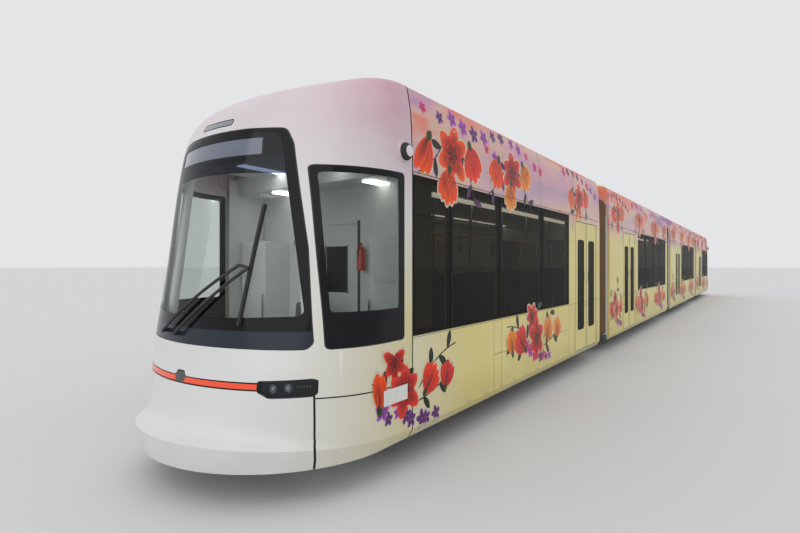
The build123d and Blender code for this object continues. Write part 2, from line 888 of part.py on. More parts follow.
if __name__ == "__main__":
    for number, rear, front, bogie in sections:
        name = f"section_{number}"
        sides = [row for row in bodysides if row[0] == number]
        save([side_wall(s, k, a, d, rear, front) for _, s, k, a, d in sides], f"{name}_side_walls")
        panes = [pane for _, s, k, a, d in sides for pane in side_panes(s, k, a, d)]
        leaves = [(s, leaf) for _, s, k, a, d in sides for leaf in leaf_places(k, a, d)]
        panes += [leaf_glass(s, leaf) for s, leaf in leaves]
        save(panes, f"{name}_windows")
        save([door_leaf(s, leaf) for s, leaf in leaves], f"{name}_doors")
        save([roof(rear, front)], f"{name}_roof")
        save(roof_gear(rear, front), f"{name}_roof_gear")
        frames = []
        if number < 4:
            frames.append(end_frame(rear, rear + end_frame_thickness))
        if number > 1:
            frames.append(end_frame(front - end_frame_thickness, front))
        save(frames, f"{name}_end_frames")
        gangways = []
        if number < 4:
            gangways.append((hinges[number - 1], "fork"))
        if number > 1:
            gangways.append((hinges[number - 2], "tongue"))
        carried = [wheel_box(bogie, side) for side in (1, -1)]
        carried += [articulation_half(hinge, half, rear if hinge < rear else front) for hinge, half in gangways]
        save([underframe(bogie, rear, front)] + carried, f"{name}_underframe")
        save(interior(rear, front, bogie), f"{name}_seats_and_poles")
        save([bogie_frame(bogie)], f"bogie_{number}_frame")
        for axle, place in (("front", wheel_base / 2), ("rear", -wheel_base / 2)):
            save([wheelset(bogie + place)], f"bogie_{number}_{axle}_wheelset")
    for number, hinge in enumerate(hinges, 1):
        save([bellows(hinge)], f"gangway_{number}_bellows")
    shell = cab_shell()
    save([shell], "front_cab_shell")
    save([turned(shell)], "rear_cab_shell")
    cab_nodes = {
        "glass": cab_glass(),
        "lamps": cab_lamps(),
        "fittings": cab_fittings(),
        "wiper": [cab_wiper()],
        "towing_eye": [towing_eye()],
    }
    for name, pieces in cab_nodes.items():
        pieces = list(pieces)
        save(pieces, f"front_cab_{name}")
        save([turned(piece) for piece in pieces], f"rear_cab_{name}")
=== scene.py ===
import math
import random

import bmesh
import bpy
from mathutils import Matrix, Vector


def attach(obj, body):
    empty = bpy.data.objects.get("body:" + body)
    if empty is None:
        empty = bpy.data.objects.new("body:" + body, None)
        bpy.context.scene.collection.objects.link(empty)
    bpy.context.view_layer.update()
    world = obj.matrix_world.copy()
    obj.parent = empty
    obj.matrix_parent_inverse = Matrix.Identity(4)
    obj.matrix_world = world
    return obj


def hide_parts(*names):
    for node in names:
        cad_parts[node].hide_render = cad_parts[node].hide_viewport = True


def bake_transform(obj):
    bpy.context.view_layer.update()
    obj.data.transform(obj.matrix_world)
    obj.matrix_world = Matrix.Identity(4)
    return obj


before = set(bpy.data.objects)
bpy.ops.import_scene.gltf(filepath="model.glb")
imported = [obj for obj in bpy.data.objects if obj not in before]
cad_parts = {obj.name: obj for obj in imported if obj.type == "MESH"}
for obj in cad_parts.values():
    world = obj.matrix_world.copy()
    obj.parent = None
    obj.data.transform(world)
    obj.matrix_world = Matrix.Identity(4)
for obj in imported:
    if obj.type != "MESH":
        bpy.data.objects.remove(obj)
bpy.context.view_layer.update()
rng = random.Random(11)

# Sizes in metres, as in the frame. RAIL is the rail head's height over the floor that the flanges touch
RAIL = 0.028
HALF = 1.325  # half the body's width
SEAM = 16.0  # the cab's rear seam
NOSE = 1.69  # from the seam to the bumper's tip
TOP = RAIL + 3.55
PITCH = 9.0  # from hinge to hinge
END = 0.41  # from a hinge to its sections' ends
WALL_TOP = RAIL + 2.7
WINDOWS = (1.19, 2.67)  # the window band, over the rail
BAND = tuple(RAIL + z for z in WINDOWS)
HALF_TURN = Matrix.Rotation(math.pi, 4, "Z")
BOTH_SIDES = (1, -1)


# Materials


def feed(tree, socket, value):
    """Links a socket to another node's output, or gives it a value."""
    if isinstance(value, bpy.types.NodeSocket):
        tree.links.new(value, socket)
    else:
        socket.default_value = value


def node(tree, kind, inputs=None, **attributes):
    """Adds a node with its settings and inputs."""
    made = tree.nodes.new("ShaderNode" + kind)
    for key, value in attributes.items():
        setattr(made, key, value)
    for key, value in (inputs or {}).items():
        feed(tree, made.inputs[key], value)
    return made


def scaled(colour, gain):
    return tuple(c * gain for c in colour)


class Shader:
    """A material with a Principled shader and short ways to add nodes in front of it."""

    def __init__(self, name, colour=(0.5, 0.5, 0.5), rough=0.5, metal=0.0, **sockets):
        self.material = bpy.data.materials.new(name)
        self.material.use_nodes = True
        self.tree = self.material.node_tree
        self.bsdf = self.tree.nodes["Principled BSDF"]
        self.place = self.add("TexCoord").outputs["Object"]
        self.base = colour
        sockets.update(Base_Color=(*colour, 1), Roughness=rough, Metallic=metal)
        for key, value in sockets.items():
            self.set(key.replace("_", " "), value)

    def add(self, kind, inputs=None, **attributes):
        return node(self.tree, kind, inputs, **attributes)

    def set(self, socket, value):
        feed(self.tree, self.bsdf.inputs[socket], value)

    def math(self, operation, a, b=0.0, clamp=False):
        return self.add("Math", {0: a, 1: b}, operation=operation, use_clamp=clamp).outputs[0]

    def times(self, a, b, clamp=False):
        return self.math("MULTIPLY", a, b, clamp)

    def noise(self, scale, detail=4.0, rough=0.55, stretch=None, warp=0.0):
        where = self.place
        if stretch:
            where = self.add("Mapping", {"Vector": where, "Scale": stretch}).outputs[0]
        inputs = {"Vector": where, "Scale": scale, "Detail": detail, "Roughness": rough, "Distortion": warp}
        return self.add("TexNoise", inputs).outputs["Fac"]

    def ramp(self, value, *stops):
        made = self.add("ValToRGB", {"Fac": value})
        ends = made.color_ramp.elements
        while len(ends) < len(stops):
            ends.new(0.5)
        for end, (at, colour) in zip(ends, stops):
            end.position = at
            end.color = (*colour, 1)
        return made.outputs["Color"]

    def span(self, value, low, high, to=(0.0, 1.0)):
        """A value from low to high, carried to another range and kept within it."""
        inputs = {"Value": value, "From Min": low, "From Max": high, "To Min": to[0], "To Max": to[1]}
        return self.add("MapRange", inputs).outputs[0]

    def mix(self, share, a, b, blend="MIX"):
        made = self.add("Mix", data_type="RGBA", blend_type=blend)
        for number, value in ((0, share), (6, a), (7, b)):
            feed(self.tree, made.inputs[number], (*value, 1) if isinstance(value, tuple) else value)
        return made.outputs[2]

    def axes(self):
        return self.add("SeparateXYZ", {0: self.place}).outputs

    def uneven(self, value, low, high):
        """Roughness that wanders with a noise."""
        self.set("Roughness", self.span(value, 0.3, 0.7, (low, high)))

    def wear(self, rough, spread, bump=0.0, scale=60.0, vary=0.08, broad=2.5):
        """Uneven colour, roughness and a fine surface."""
        cloud = self.noise(broad, 5)
        dark, light = scaled(self.base, 1 - vary), scaled(self.base, 1 + vary * 0.6)
        self.set("Base Color", self.ramp(cloud, (0.3, dark), (0.7, light)))
        patches = self.span(self.noise(broad * 5, 6), 0.25, 0.75, (rough - spread, rough + spread))
        self.set("Roughness", patches)
        if bump:
            self.bumps(self.noise(scale, 3), bump)
        return self.material

    def bumps(self, height, strength, distance=0.002):
        made = self.add("Bump", {"Height": height, "Strength": strength, "Distance": distance})
        self.set("Normal", made.outputs[0])


def glass(name, tint, gain):
    """A pane that mirrors by Fresnel and lets tinted light through."""
    rough = 0.015
    made = Shader(name, (0.90, 0.93, 0.95), rough, 1.0)
    clear = made.add("BsdfTransparent", {"Color": (*tint, 1)})
    share = made.times(made.add("Fresnel", {"IOR": 1.52}).outputs[0], gain, True)
    both = made.add("MixShader", {0: share, 1: clear.outputs[0], 2: made.bsdf.outputs[0]})
    streaks = made.noise(9, 4, stretch=(1, 1, 0.25))
    made.set("Roughness", made.span(streaks, 0.35, 0.8, (rough, rough + 0.05)))
    made.tree.links.new(both.outputs[0], made.tree.nodes["Material Output"].inputs["Surface"])
    return made.material


SATIN = {"Specular_IOR_Level": 0.22, "Coat_Weight": 0.05, "Coat_Roughness": 0.1}
SUNSET = [
    (0.32, (0.38, 0.22, 0.46)),
    (0.42, (0.60, 0.33, 0.42)),
    (0.50, (0.68, 0.44, 0.36)),
    (0.57, (0.76, 0.20, 0.14)),
    (0.66, (0.78, 0.36, 0.12)),
]


def livery():
    """Body paint: cream below, sunset clouds of pink, salmon and lilac above, black behind the panes."""
    made = Shader("body_livery", (0.66, 0.56, 0.22), 0.34, **SATIN)
    x, y, z = made.axes()
    cream = made.noise(0.9, 4, stretch=(0.6, 1, 1.4))
    cream = made.ramp(cream, (0.3, (0.68, 0.575, 0.19)), (0.7, (0.74, 0.65, 0.27)))
    pearl = made.ramp(made.noise(1.3, 4), (0.3, (0.66, 0.66, 0.64)), (0.7, (0.70, 0.70, 0.68)))
    near_cab = made.span(made.math("ABSOLUTE", x), 14.9, 17.0)
    low = made.mix(near_cab, cream, pearl)
    cloud = made.noise(0.55, 5, 0.5, stretch=(0.55, 0.5, 2.6), warp=0.6)
    sky = made.ramp(cloud, *SUNSET)
    pale = made.mix(0.5, (0.64, 0.50, 0.44), sky)
    lift = made.span(made.math("ADD", z, made.times(cloud, 0.5)), 2.95, 3.45)
    high = made.mix(lift, pale, sky)
    blush = made.times(made.span(made.math("ABSOLUTE", x), 15.5, 17.0), 0.6)
    high = made.mix(blush, high, (0.66, 0.38, 0.41))
    whole = made.mix(made.span(z, 2.35, 2.72), low, high)
    band = made.times(made.math("GREATER_THAN", z, BAND[0]), made.math("LESS_THAN", z, BAND[1]))
    behind = made.math("LESS_THAN", made.math("ABSOLUTE", y), HALF - 0.004)
    facing = made.add("SeparateXYZ", {0: made.add("TexCoord").outputs["Normal"]}).outputs["X"]
    along = made.math("LESS_THAN", made.math("ABSOLUTE", facing), 0.9)
    behind = made.times(behind, along)
    whole = made.mix(made.times(band, behind), whole, (0.012, 0.012, 0.014))
    lining = made.math("LESS_THAN", made.math("ABSOLUTE", y), HALF - 0.05)
    lining = made.times(lining, made.math("LESS_THAN", z, WALL_TOP + 0.18))
    whole = made.mix(lining, whole, (0.64, 0.65, 0.64))
    dust = made.times(made.span(z, 0.75, 0.25), made.noise(3.5, 6), True)
    whole = made.mix(made.times(dust, 0.4), whole, (0.28, 0.23, 0.17))
    made.set("Base Color", whole)
    made.uneven(made.noise(6, 5), 0.30, 0.42)
    made.bumps(made.noise(2.2, 2, stretch=(1, 1, 2)), 0.06, 0.004)
    return made.material


def cab_pearl():
    """The nose's pearl white, warmer toward its rear, with a pink blush high up and road dust low down."""
    sockets = {"Specular_IOR_Level": 0.4, "Coat_Weight": 0.2, "Coat_Roughness": 0.12}
    made = Shader("cab_pearl", (0.68, 0.68, 0.67), 0.34, **sockets)
    x, y, z = made.axes()
    pearl = made.ramp(made.noise(1.1, 4), (0.3, (0.66, 0.66, 0.65)), (0.7, (0.70, 0.70, 0.695)))
    away = made.math("ABSOLUTE", x)
    cream = made.times(made.span(away, 17.25, 16.05), made.span(z, 2.4, 1.4), True)
    whole = made.mix(made.times(cream, 0.85), pearl, (0.66, 0.58, 0.26))
    blush = made.times(made.span(away, 17.4, 16.25), made.span(z, 2.3, 3.2), True)
    blush = made.times(blush, made.span(made.noise(1.4, 3), 0.3, 0.6, (0.7, 1.0)))
    whole = made.mix(blush, whole, (0.58, 0.34, 0.42))
    dust = made.times(made.span(z, 0.62, 0.28), made.span(made.noise(4, 6), 0.35, 0.75), True)
    whole = made.mix(made.times(dust, 0.2), whole, (0.36, 0.32, 0.26))
    made.set("Base Color", whole)
    made.uneven(made.noise(7, 5), 0.30, 0.42)
    made.bumps(made.noise(1.8, 2), 0.05, 0.004)
    return made.material


def petal_paint():
    """Petal and leaf paint: the colour of each point with fine veins."""
    made = Shader("petal_paint", (0.8, 0.2, 0.1), 0.36, Specular_IOR_Level=0.3)
    colour = made.add("Attribute", attribute_name="tint").outputs["Color"]
    veins = made.span(made.noise(34, 5, 0.6, stretch=(1, 1, 0.4), warp=1.2), 0.42, 0.75, (0.0, 0.28))
    made.set("Base Color", made.mix(veins, colour, (0.45, 0.06, 0.05), "MULTIPLY"))
    made.uneven(made.noise(12), 0.30, 0.42)
    return made.material


def glow(name, colour, strength):
    made = Shader(name, colour, 0.15, Coat_Weight=0.3)
    made.set("Emission Color", (*colour, 1))
    made.set("Emission Strength", strength)
    made.uneven(made.noise(40, 3), 0.08, 0.2)
    made.bumps(made.noise(160, 2, stretch=(1, 1, 0.1)), 0.2, 0.001)
    return made.material


def woven(name, colour):
    """Upholstery with a fine weave, with painted shade between its threads."""
    made = Shader(name, colour, 0.85, Sheen_Weight=0.3)
    threads = {"Vector": made.place, "Scale": 420.0, "Distortion": 1.0}
    warp = made.add("TexWave", threads)
    weft = made.add("TexWave", threads, bands_direction="Z")
    height = made.math("ADD", warp.outputs["Fac"], weft.outputs["Fac"])
    # Darker where the weave dips: painted shade between the threads, mixed with a random tone from the noise.
    shade = made.times(made.math("ADD", height, made.noise(5, 5)), 0.4)
    made.set("Base Color", made.ramp(shade, (0.2, scaled(colour, 0.7)), (0.9, colour)))
    made.bumps(height, 0.35, 0.001)
    return made.material


GLOSS, COAT = "Specular_IOR_Level", "Coat_Weight"
# Key: name, colour, roughness, metallic, what wear() takes, other sockets
PAINTS = {
    "mask": ("mask_black", (0.008, 0.008, 0.010), 0.06, 0, (0.07, 0.03, 0, 0, 0.2), {GLOSS: 0.16}),
    # mask_lower: a real separate strip below the windscreen; its greyer, bluer colour than the mask black is
    # a painted reflection.
    "mask_lower": ("mask_lower", (0.026, 0.034, 0.048), 0.14, 0, (0.16, 0.05, 0.05, 200, 0.2), {GLOSS: 0.2}),
    "lamp_well": ("lamp_well", (0.01, 0.01, 0.011), 0.3, 0, (0.32, 0.1, 0.2, 200, 0.3)),
    "dark_chrome": ("dark_chrome", (0.25, 0.26, 0.28), 0.15, 1, (0.16, 0.05, 0.1, 200, 0.2)),
    "pod_glass": ("pod_glass", (0.70, 0.66, 0.70), 0.12, 0, (0.14, 0.04, 0.1, 200, 0.08), {COAT: 1.0}),
    "cover_grey": ("sensor_cover", (0.085, 0.075, 0.068), 0.34, 0, (0.36, 0.06, 0.2, 300, 0.25, 8)),
    "slot_lens": ("marker_lens", (0.20, 0.22, 0.26), 0.15, 0, (0.16, 0.05, 0.2, 300, 0.15), {COAT: 0.8}),
    "rubber": ("seal_rubber", (0.018, 0.018, 0.019), 0.62, 0, (0.62, 0.1, 0.25, 220, 0.25)),
    "groove": ("groove_black", (0.008, 0.008, 0.009), 0.8, 0, (0.8, 0.1, 0.2, 90, 0.3)),
    "lens": ("lamp_lens", (0.75, 0.78, 0.8), 0.04, 0.6, (0.06, 0.03, 0.3, 300, 0.15), {COAT: 1.0}),
    "chrome": ("bright_metal", (0.72, 0.73, 0.74), 0.18, 1, (0.2, 0.08, 0.1, 150, 0.1)),
    "alloy": ("brushed_alloy", (0.5, 0.51, 0.52), 0.38, 0.9, (0.38, 0.1, 0.2, 180, 0.12)),
    "steel": ("tread_steel", (0.36, 0.35, 0.34), 0.4, 1, (0.42, 0.15, 0.35, 90, 0.3, 5)),
    "frame": ("frame_grey", (0.13, 0.135, 0.14), 0.5, 0, (0.52, 0.12, 0.3, 120, 0.25, 4)),
    "bogie": ("bogie_grey", (0.075, 0.075, 0.08), 0.6, 0, (0.62, 0.14, 0.4, 90, 0.4, 5)),
    "gear": ("roof_unit_grey", (0.52, 0.54, 0.55), 0.42, 0, (0.44, 0.12, 0.25, 140, 0.15, 3)),
    "pale": ("lining_white", (0.74, 0.75, 0.74), 0.4, 0, (0.42, 0.08, 0.2, 260, 0.05, 2)),
    "floor_cover": ("floor_cover", (0.22, 0.23, 0.25), 0.6, 0, (0.62, 0.08, 0.4, 500, 0.25, 40)),
    "seat": ("seat_shell", (0.10, 0.19, 0.36), 0.42, 0, (0.44, 0.08, 0.3, 320, 0.12, 3)),
    "trim": ("trim_grey", (0.055, 0.058, 0.062), 0.5, 0, (0.52, 0.1, 0.3, 380, 0.2, 4)),
    "console": ("console_grey", (0.13, 0.145, 0.16), 0.45, 0, (0.46, 0.08, 0.35, 420, 0.15, 3)),
    "yellow": ("grab_yellow", (0.80, 0.55, 0.05), 0.3, 0, (0.32, 0.08, 0.1, 200, 0.1), {COAT: 0.4}),
    "red": ("signal_red", (0.62, 0.02, 0.015), 0.25, 0, (0.26, 0.06, 0.1, 120, 0.12, 8), {COAT: 0.5}),
    "plate": ("blank_plate", (0.72, 0.72, 0.69), 0.35, 0, (0.36, 0.06, 0.15, 160, 0.06, 12)),
    "screen": ("screen_glass", (0.02, 0.03, 0.045), 0.08, 0, (0.1, 0.04, 0, 0, 0.3), {COAT: 0.8}),
    "sign": ("blank_sign", (0.10, 0.12, 0.17), 0.12, 0, (0.14, 0.05, 0.1, 500, 0.1), {COAT: 0.8}),
    "bellows": ("bellows_cloth", (0.15, 0.082, 0.034), 0.75, 0, (0.76, 0.1, 0.5, 260, 0.18, 3)),
    "bellows_ridge": ("bellows_edge", (0.088, 0.046, 0.019), 0.65, 0, (0.66, 0.1, 0.4, 200, 0.25, 4)),
    "door": ("door_cream", (0.70, 0.61, 0.23), 0.34, 0, (0.36, 0.06, 0, 0, 0.05, 1.5), SATIN),
    "floor": ("studio_floor", (0.66, 0.66, 0.655), 0.8, 0, (0.82, 0.04, 0.02, 30, 0.01, 0.4)),
}
# Key: name, tint, share of the mirror image
PANES_OF_GLASS = {
    "clear": ("clear_glass", (0.93, 0.96, 0.95), 0.55),
    "side_clear": ("side_glass", (0.66, 0.71, 0.68), 0.35),
    "shade": ("shade_glass", (0.035, 0.045, 0.075), 0.6),
    "dark_glass": ("dark_glass", (0.36, 0.345, 0.31), 0.14),
    "lamp_cover": ("lamp_cover", (0.5, 0.52, 0.54), 0.7),
}
M = {
    "livery": livery(),
    "pearl": cab_pearl(),
    "petals": petal_paint(),
    "cab_light": glow("cab_light_cover", (0.95, 0.95, 0.92), 5.0),
    "orange": glow("light_strip_red", (0.80, 0.07, 0.02), 0.12),
    "light_cover": glow("light_cover", (0.9, 0.9, 0.86), 3.0),
    "fabric": woven("driver_seat_fabric", (0.03, 0.032, 0.036)),
    "seat_cloth": woven("saloon_seat_fabric", (0.10, 0.16, 0.34)),
}
for key, (name, colour, rough, metal, worn, *more) in PAINTS.items():
    M[key] = Shader(name, colour, rough, metal, **(more[0] if more else {})).wear(*worn)
for key, row in PANES_OF_GLASS.items():
    M[key] = glass(*row)


# Mesh tools


def unique(items):
    """Each item once, in its order."""
    return list(dict.fromkeys(items))


def pairs(row):
    """Each item of a row with the one after it."""
    return zip(row[:-1], row[1:])


def around(outline):
    """Each point of a closed outline with the one after it."""
    return zip(outline, outline[1:] + outline[:1])


def about(middle, half):
    """From half below a middle to half above it."""
    return (middle - half, middle + half)


def skin(bm, rows, closed=True, flip=False):
    """Faces between successive rows of vertices; a row of one vertex is a tip."""
    faces = []
    for low, high in pairs(rows):
        count = max(len(low), len(high))
        for i in range(count if closed else count - 1):
            a, b = i, (i + 1) % count
            if flip:
                a, b = b, a
            corners = (low[a % len(low)], low[b % len(low)], high[b % len(high)], high[a % len(high)])
            faces.append(bm.faces.new(unique(corners)))
    return faces


def circle(radius, sides):
    angles = (2 * math.pi * i / sides for i in range(sides))
    return [(radius * math.cos(a), radius * math.sin(a)) for a in angles]


class Piece:
    """One object of the scene, built from bevelled boxes, bars, lathed forms and panels.

    Points are counted from its origin, and outward from the middle while sides() runs.
    """

    def __init__(self, name, origin=(0, 0, 0)):
        self.name = name
        self.bm = bmesh.new()
        self.mats = []
        self.origin = origin
        self.side = 1

    def sides(self):
        for self.side in BOTH_SIDES:
            yield self.side
        self.side = 1

    def at(self, x, y, z):
        return (self.origin[0] + x, self.origin[1] + self.side * y, self.origin[2] + z)

    def use(self, material):
        if material not in self.mats:
            self.mats.append(material)
        return self.mats.index(material)

    def keep(self, made, material, matrix=None):
        """Takes the new vertices' faces into the piece with a material."""
        if matrix is not None:
            bmesh.ops.transform(self.bm, matrix=matrix, verts=made)
        number = self.use(material)
        for face in unique(f for v in made for f in v.link_faces):
            face.material_index = number

    def box(self, x, y, z, material, bevel=0.004, matrix=None):
        origin = self.origin
        if matrix is not None:
            matrix = Matrix.Translation(origin) @ matrix
            origin = (0, 0, 0)
        y = [self.side * end for end in y]
        spans = [sorted(start + end for end in pair) for start, pair in zip(origin, (x, y, z))]
        size = [high - low for low, high in spans]
        middle = Vector([(low + high) / 2 for low, high in spans])
        made = bmesh.ops.create_cube(self.bm, size=1)["verts"]
        bmesh.ops.scale(self.bm, vec=size, verts=made)
        bmesh.ops.translate(self.bm, vec=middle, verts=made)
        bevel = min(bevel, min(size) * 0.4)
        if bevel > 0:
            edges = unique(e for v in made for e in v.link_edges)
            out = bmesh.ops.bevel(self.bm, geom=edges, offset=bevel, segments=2, profile=0.7, affect="EDGES")
            made = unique([v for f in out["faces"] for v in f.verts] + [v for v in made if v.is_valid])
        self.keep(made, material, matrix)

    def solid(self, rings, material):
        """A form with flat ends through rings of points of the frame."""
        rows = [[self.bm.verts.new(p) for p in row] for row in rings]
        faces = [self.bm.faces.new(row) for row in (rows[0], rows[-1][::-1])]
        faces += skin(self.bm, rows, flip=True)
        bmesh.ops.recalc_face_normals(self.bm, faces=faces)
        self.keep(sum(rows, []), material)

    def prism(self, outline, half, material):
        """An outline of (x, z) points carried across, to both sides of the middle."""
        self.solid([[self.at(x, y, z) for x, z in outline] for y in (-half, half)], material)

    def lathe(self, profile, centre, direction, material, sides=32):
        """Rings of (distance along the direction, radius) turned about a line."""
        x, y, z = direction
        turn = Vector((x, self.side * y, z)).normalized().to_track_quat("Z", "Y").to_matrix().to_4x4()
        rows = []
        for along, radius in profile:
            spots = circle(radius, sides) if radius else [(0, 0)]
            rows.append([self.bm.verts.new((a, b, along)) for a, b in spots])
        bmesh.ops.recalc_face_normals(self.bm, faces=skin(self.bm, rows))
        self.keep(sum(rows, []), material, Matrix.Translation(self.at(*centre)) @ turn)

    def tube(self, points, radius, material, sides=12):
        """A round bar along points, with closed ends."""
        points = [Vector(self.at(*p)) for p in points]
        rings = []
        for number, point in enumerate(points):
            before = points[max(number - 1, 0)]
            after = points[min(number + 1, len(points) - 1)]
            turn = (after - before).to_track_quat("Z", "Y").to_matrix()
            rings.append([point + turn @ Vector((a, b, 0)) for a, b in circle(radius, sides)])
        self.solid(rings, material)

    def panel(self, points, material):
        """One face through points."""
        made = [self.bm.verts.new(self.at(*p)) for p in points]
        self.bm.faces.new(made)
        self.keep(made, material)

    def kept_normals(self, layer, rear):
        """Each corner's normal: the smooth surface's where the face follows it, else the face's own."""
        normals = []
        for face in self.bm.faces:
            for vert in face.verts:
                kept = vert[layer]
                if rear:
                    kept = Vector((-kept.x, -kept.y, kept.z))
                along = kept.dot(face.normal)
                if kept.length > 0.5 and abs(along) > 0.7:
                    normals.append(kept if along > 0 else -kept)
                else:
                    normals.append(face.normal.copy())
        return normals

    def shown(self):
        """Ends the mesh and links its object."""
        mesh = bpy.data.meshes.new(self.name)
        self.bm.to_mesh(mesh)
        self.bm.free()
        for material in self.mats:
            mesh.materials.append(M[material])
        made = bpy.data.objects.new(self.name, mesh)
        bpy.context.scene.collection.objects.link(made)
        return made

    def done(self, body, slot, replaces=(), smooth=40, rear=False):
        """Ends the piece: it rides on a body and may stand for CAD nodes."""
        if rear:
            bmesh.ops.transform(self.bm, matrix=HALF_TURN, verts=self.bm.verts)
            self.bm.normal_update()
        kept = self.bm.verts.layers.float_vector.get("normal")
        normals = self.kept_normals(kept, rear) if kept else None
        for face in self.bm.faces:
            face.smooth = smooth > 0
        if smooth:
            limit = math.radians(smooth)
            for edge in self.bm.edges:
                if len(edge.link_faces) == 2 and edge.calc_face_angle(0) > limit:
                    edge.smooth = False
        made = self.shown()
        if normals:
            made.data.normals_split_custom_set(normals)
        if body:
            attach(made, body)
        if replaces:
            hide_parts(*replaces)
        return made


def fillet(points, radius, steps=6):
    """A closed outline with its corners rounded; radius is one value or one per corner."""
    radii = radius if isinstance(radius, (list, tuple)) else [radius] * len(points)
    result = []
    for i, point in enumerate(points):
        here = Vector(point)
        back = Vector(points[i - 1]) - here
        ahead = Vector(points[(i + 1) % len(points)]) - here
        half = back.angle(ahead) / 2
        if radii[i] <= 0 or half > 1.56:  # a sharp corner, or none
            result.append(tuple(here))
            continue
        cut = min(radii[i] / math.tan(half), back.length * 0.45, ahead.length * 0.45)
        first = here + back.normalized() * cut
        last = here + ahead.normalized() * cut
        for k in range(steps + 1):
            t = k / steps
            result.append(tuple(first * (1 - t) ** 2 + here * 2 * t * (1 - t) + last * t**2))
    return result


def inside(outline, a, b):
    """Whether a 2-D point lies in a closed outline."""
    odd = False
    for (a0, b0), (a1, b1) in around(outline):
        if (b0 > b) != (b1 > b) and a < (a1 - a0) * (b - b0) / (b1 - b0) + a0:
            odd = not odd
    return odd


def carve(bm, outline, axis, wanted):
    """Cuts the faces that an outline crosses, seen along an axis, so that edges follow it."""
    across, up = (1, 2) if axis == "X" else (0, 2)
    reach = Vector((axis == "X", axis == "Y", 0))

    def extent(points, room):
        """Lowest and highest values across and up, with some room."""
        spans = [[point[k] for point in points] for k in (0, 1)]
        return [(min(values) - room, max(values) + room) for values in spans]

    def face_extent(face):
        return extent([(v.co[across], v.co[up]) for v in face.verts], 0)

    def meet(one, two):
        return all(a[1] > b[0] and a[0] < b[1] for a, b in zip(one, two))

    whole = extent(outline, 0.01)
    near = {face: face_extent(face) for face in bm.faces}
    near = {face: box for face, box in near.items() if meet(box, whole) and wanted(face)}
    for p, q in around(outline):
        stretch = extent((p, q), 0.001)
        hit = [face for face, box in near.items() if meet(box, stretch)]
        step, point = Vector((0, 0, 0)), Vector((0, 0, 0))
        step[across], step[up] = q[0] - p[0], q[1] - p[1]
        if not hit or step.length < 1e-6:
            continue
        point[across], point[up] = p
        geometry = hit + unique(e for f in hit for e in f.edges) + unique(v for f in hit for v in f.verts)
        plane = {"plane_co": point, "plane_no": step.cross(reach).normalized()}
        out = bmesh.ops.bisect_plane(bm, geom=geometry, dist=1e-5, **plane)
        for face in hit:
            near.pop(face, None)
        for face in (g for g in out["geom"] if isinstance(g, bmesh.types.BMFace) and g.is_valid):
            near[face] = face_extent(face)


# Nose

# Drop below the roof's top and inset of the shoulder, shared by the nose and the fairings
SHOULDER = [(0.480, 0.012), (0.310, 0.022), (0.185, 0.043), (0.065, 0.071), (0.030, 0.130), (0.0, 0.265)]
FAIRING = [(HALF - inset, TOP - drop) for drop, inset in SHOULDER]
# Height, reach and straight side as shares of the cab's length, inset, corner share, rise
LEVELS = [
    (RAIL + 0.26, 0.976, 0.266, 0.045, 0.775, 0),
    (RAIL + 0.34, 1, 0.266, 0, 0.774, 0.076),
    (RAIL + 0.56, 0.914, 0.266, 0, 0.858, 0),
    (RAIL + 0.9, 0.876, 0.266, 0, 0.903, 0),
    (RAIL + 1.25, 0.84, 0.237, 0, 0.912, 0),
    (RAIL + 1.95, 0.79, 0.154, 0, 0.893, 0),
    (WALL_TOP, 0.722, 0.089, 0, 0.888, 0),
]
# Reach, straight side and corner share at the shoulder's levels
UPPER = [
    (0.669, 0.059, 0.864),
    (0.598, 0.047, 0.817),
    (0.503, 0.036, 0.759),
    (0.355, 0.024, 0.714),
    (0.284, 0.018, 0.733),
    (0.195, 0.012, 0.774),
]
for (drop, inset), (reach, straight, share) in zip(SHOULDER, UPPER):
    LEVELS.append((TOP - drop, reach, straight, inset, share, 0))
BOTTOM, FOLD = LEVELS[0][0], LEVELS[1][0]  # the skirt's lower edge and the bumper's fold


def eased(xs, ys, x):
    """A smooth curve through points that never overshoots them."""
    steps = [b - a for a, b in pairs(xs)]
    slopes = [(b - a) / h for (a, b), h in zip(pairs(ys), steps)]
    at = [slopes[0]]
    for i in range(1, len(xs) - 1):
        a, b = slopes[i - 1], slopes[i]
        w1, w2 = 2 * steps[i] + steps[i - 1], steps[i] + 2 * steps[i - 1]
        at.append((w1 + w2) / (w1 / a + w2 / b) if a * b > 0 else 0)
    at.append(slopes[-1])
    i = max(k for k in range(len(steps)) if k == 0 or xs[k] <= x)
    t, h = (x - xs[i]) / steps[i], steps[i]
    one = (2 * t**3 - 3 * t**2 + 1) * ys[i] + (t**3 - 2 * t**2 + t) * h * at[i]
    return one + (3 * t**2 - 2 * t**3) * ys[i + 1] + (t**3 - t**2) * h * at[i + 1]


def ring(z, counts=(9, 24, 24)):
    """One level of the nose as points from the left side round the front to the right side."""
    if z <= FOLD:
        share = (z - BOTTOM) / (FOLD - BOTTOM)
        row = [a + share * (b - a) for a, b in zip(LEVELS[0][1:], LEVELS[1][1:])]
    else:
        columns = list(zip(*LEVELS[1:]))
        row = [eased(columns[0], column, z) for column in columns[1:]]
    reach, straight, inset, share, rise = row
    reach, straight, half = reach * NOSE, straight * NOSE, HALF - inset
    depth = reach - straight
    corner = share * depth
    front = (depth**2 + (half - corner) ** 2 - corner**2) / (2 * (depth - corner))
    centre = reach - front
    away = math.atan2(half - corner, straight - centre)
    points = [(straight * i / counts[0], half) for i in range(counts[0])]
    for i in range(counts[1]):
        angle = math.pi / 2 + (away - math.pi / 2) * i / counts[1]
        points.append((straight + corner * math.cos(angle), half - corner + corner * math.sin(angle)))
    for i in range(counts[2] + 1):
        angle = away * (1 - i / counts[2])
        points.append((centre + front * math.cos(angle), front * math.sin(angle)))
    k = 1 / math.sqrt(1 + rise * rise)
    left = [(SEAM + x * k, y, z + x * rise * k) for x, y in points]
    return left + [(x, -y, h) for x, y, h in left[-2::-1]]


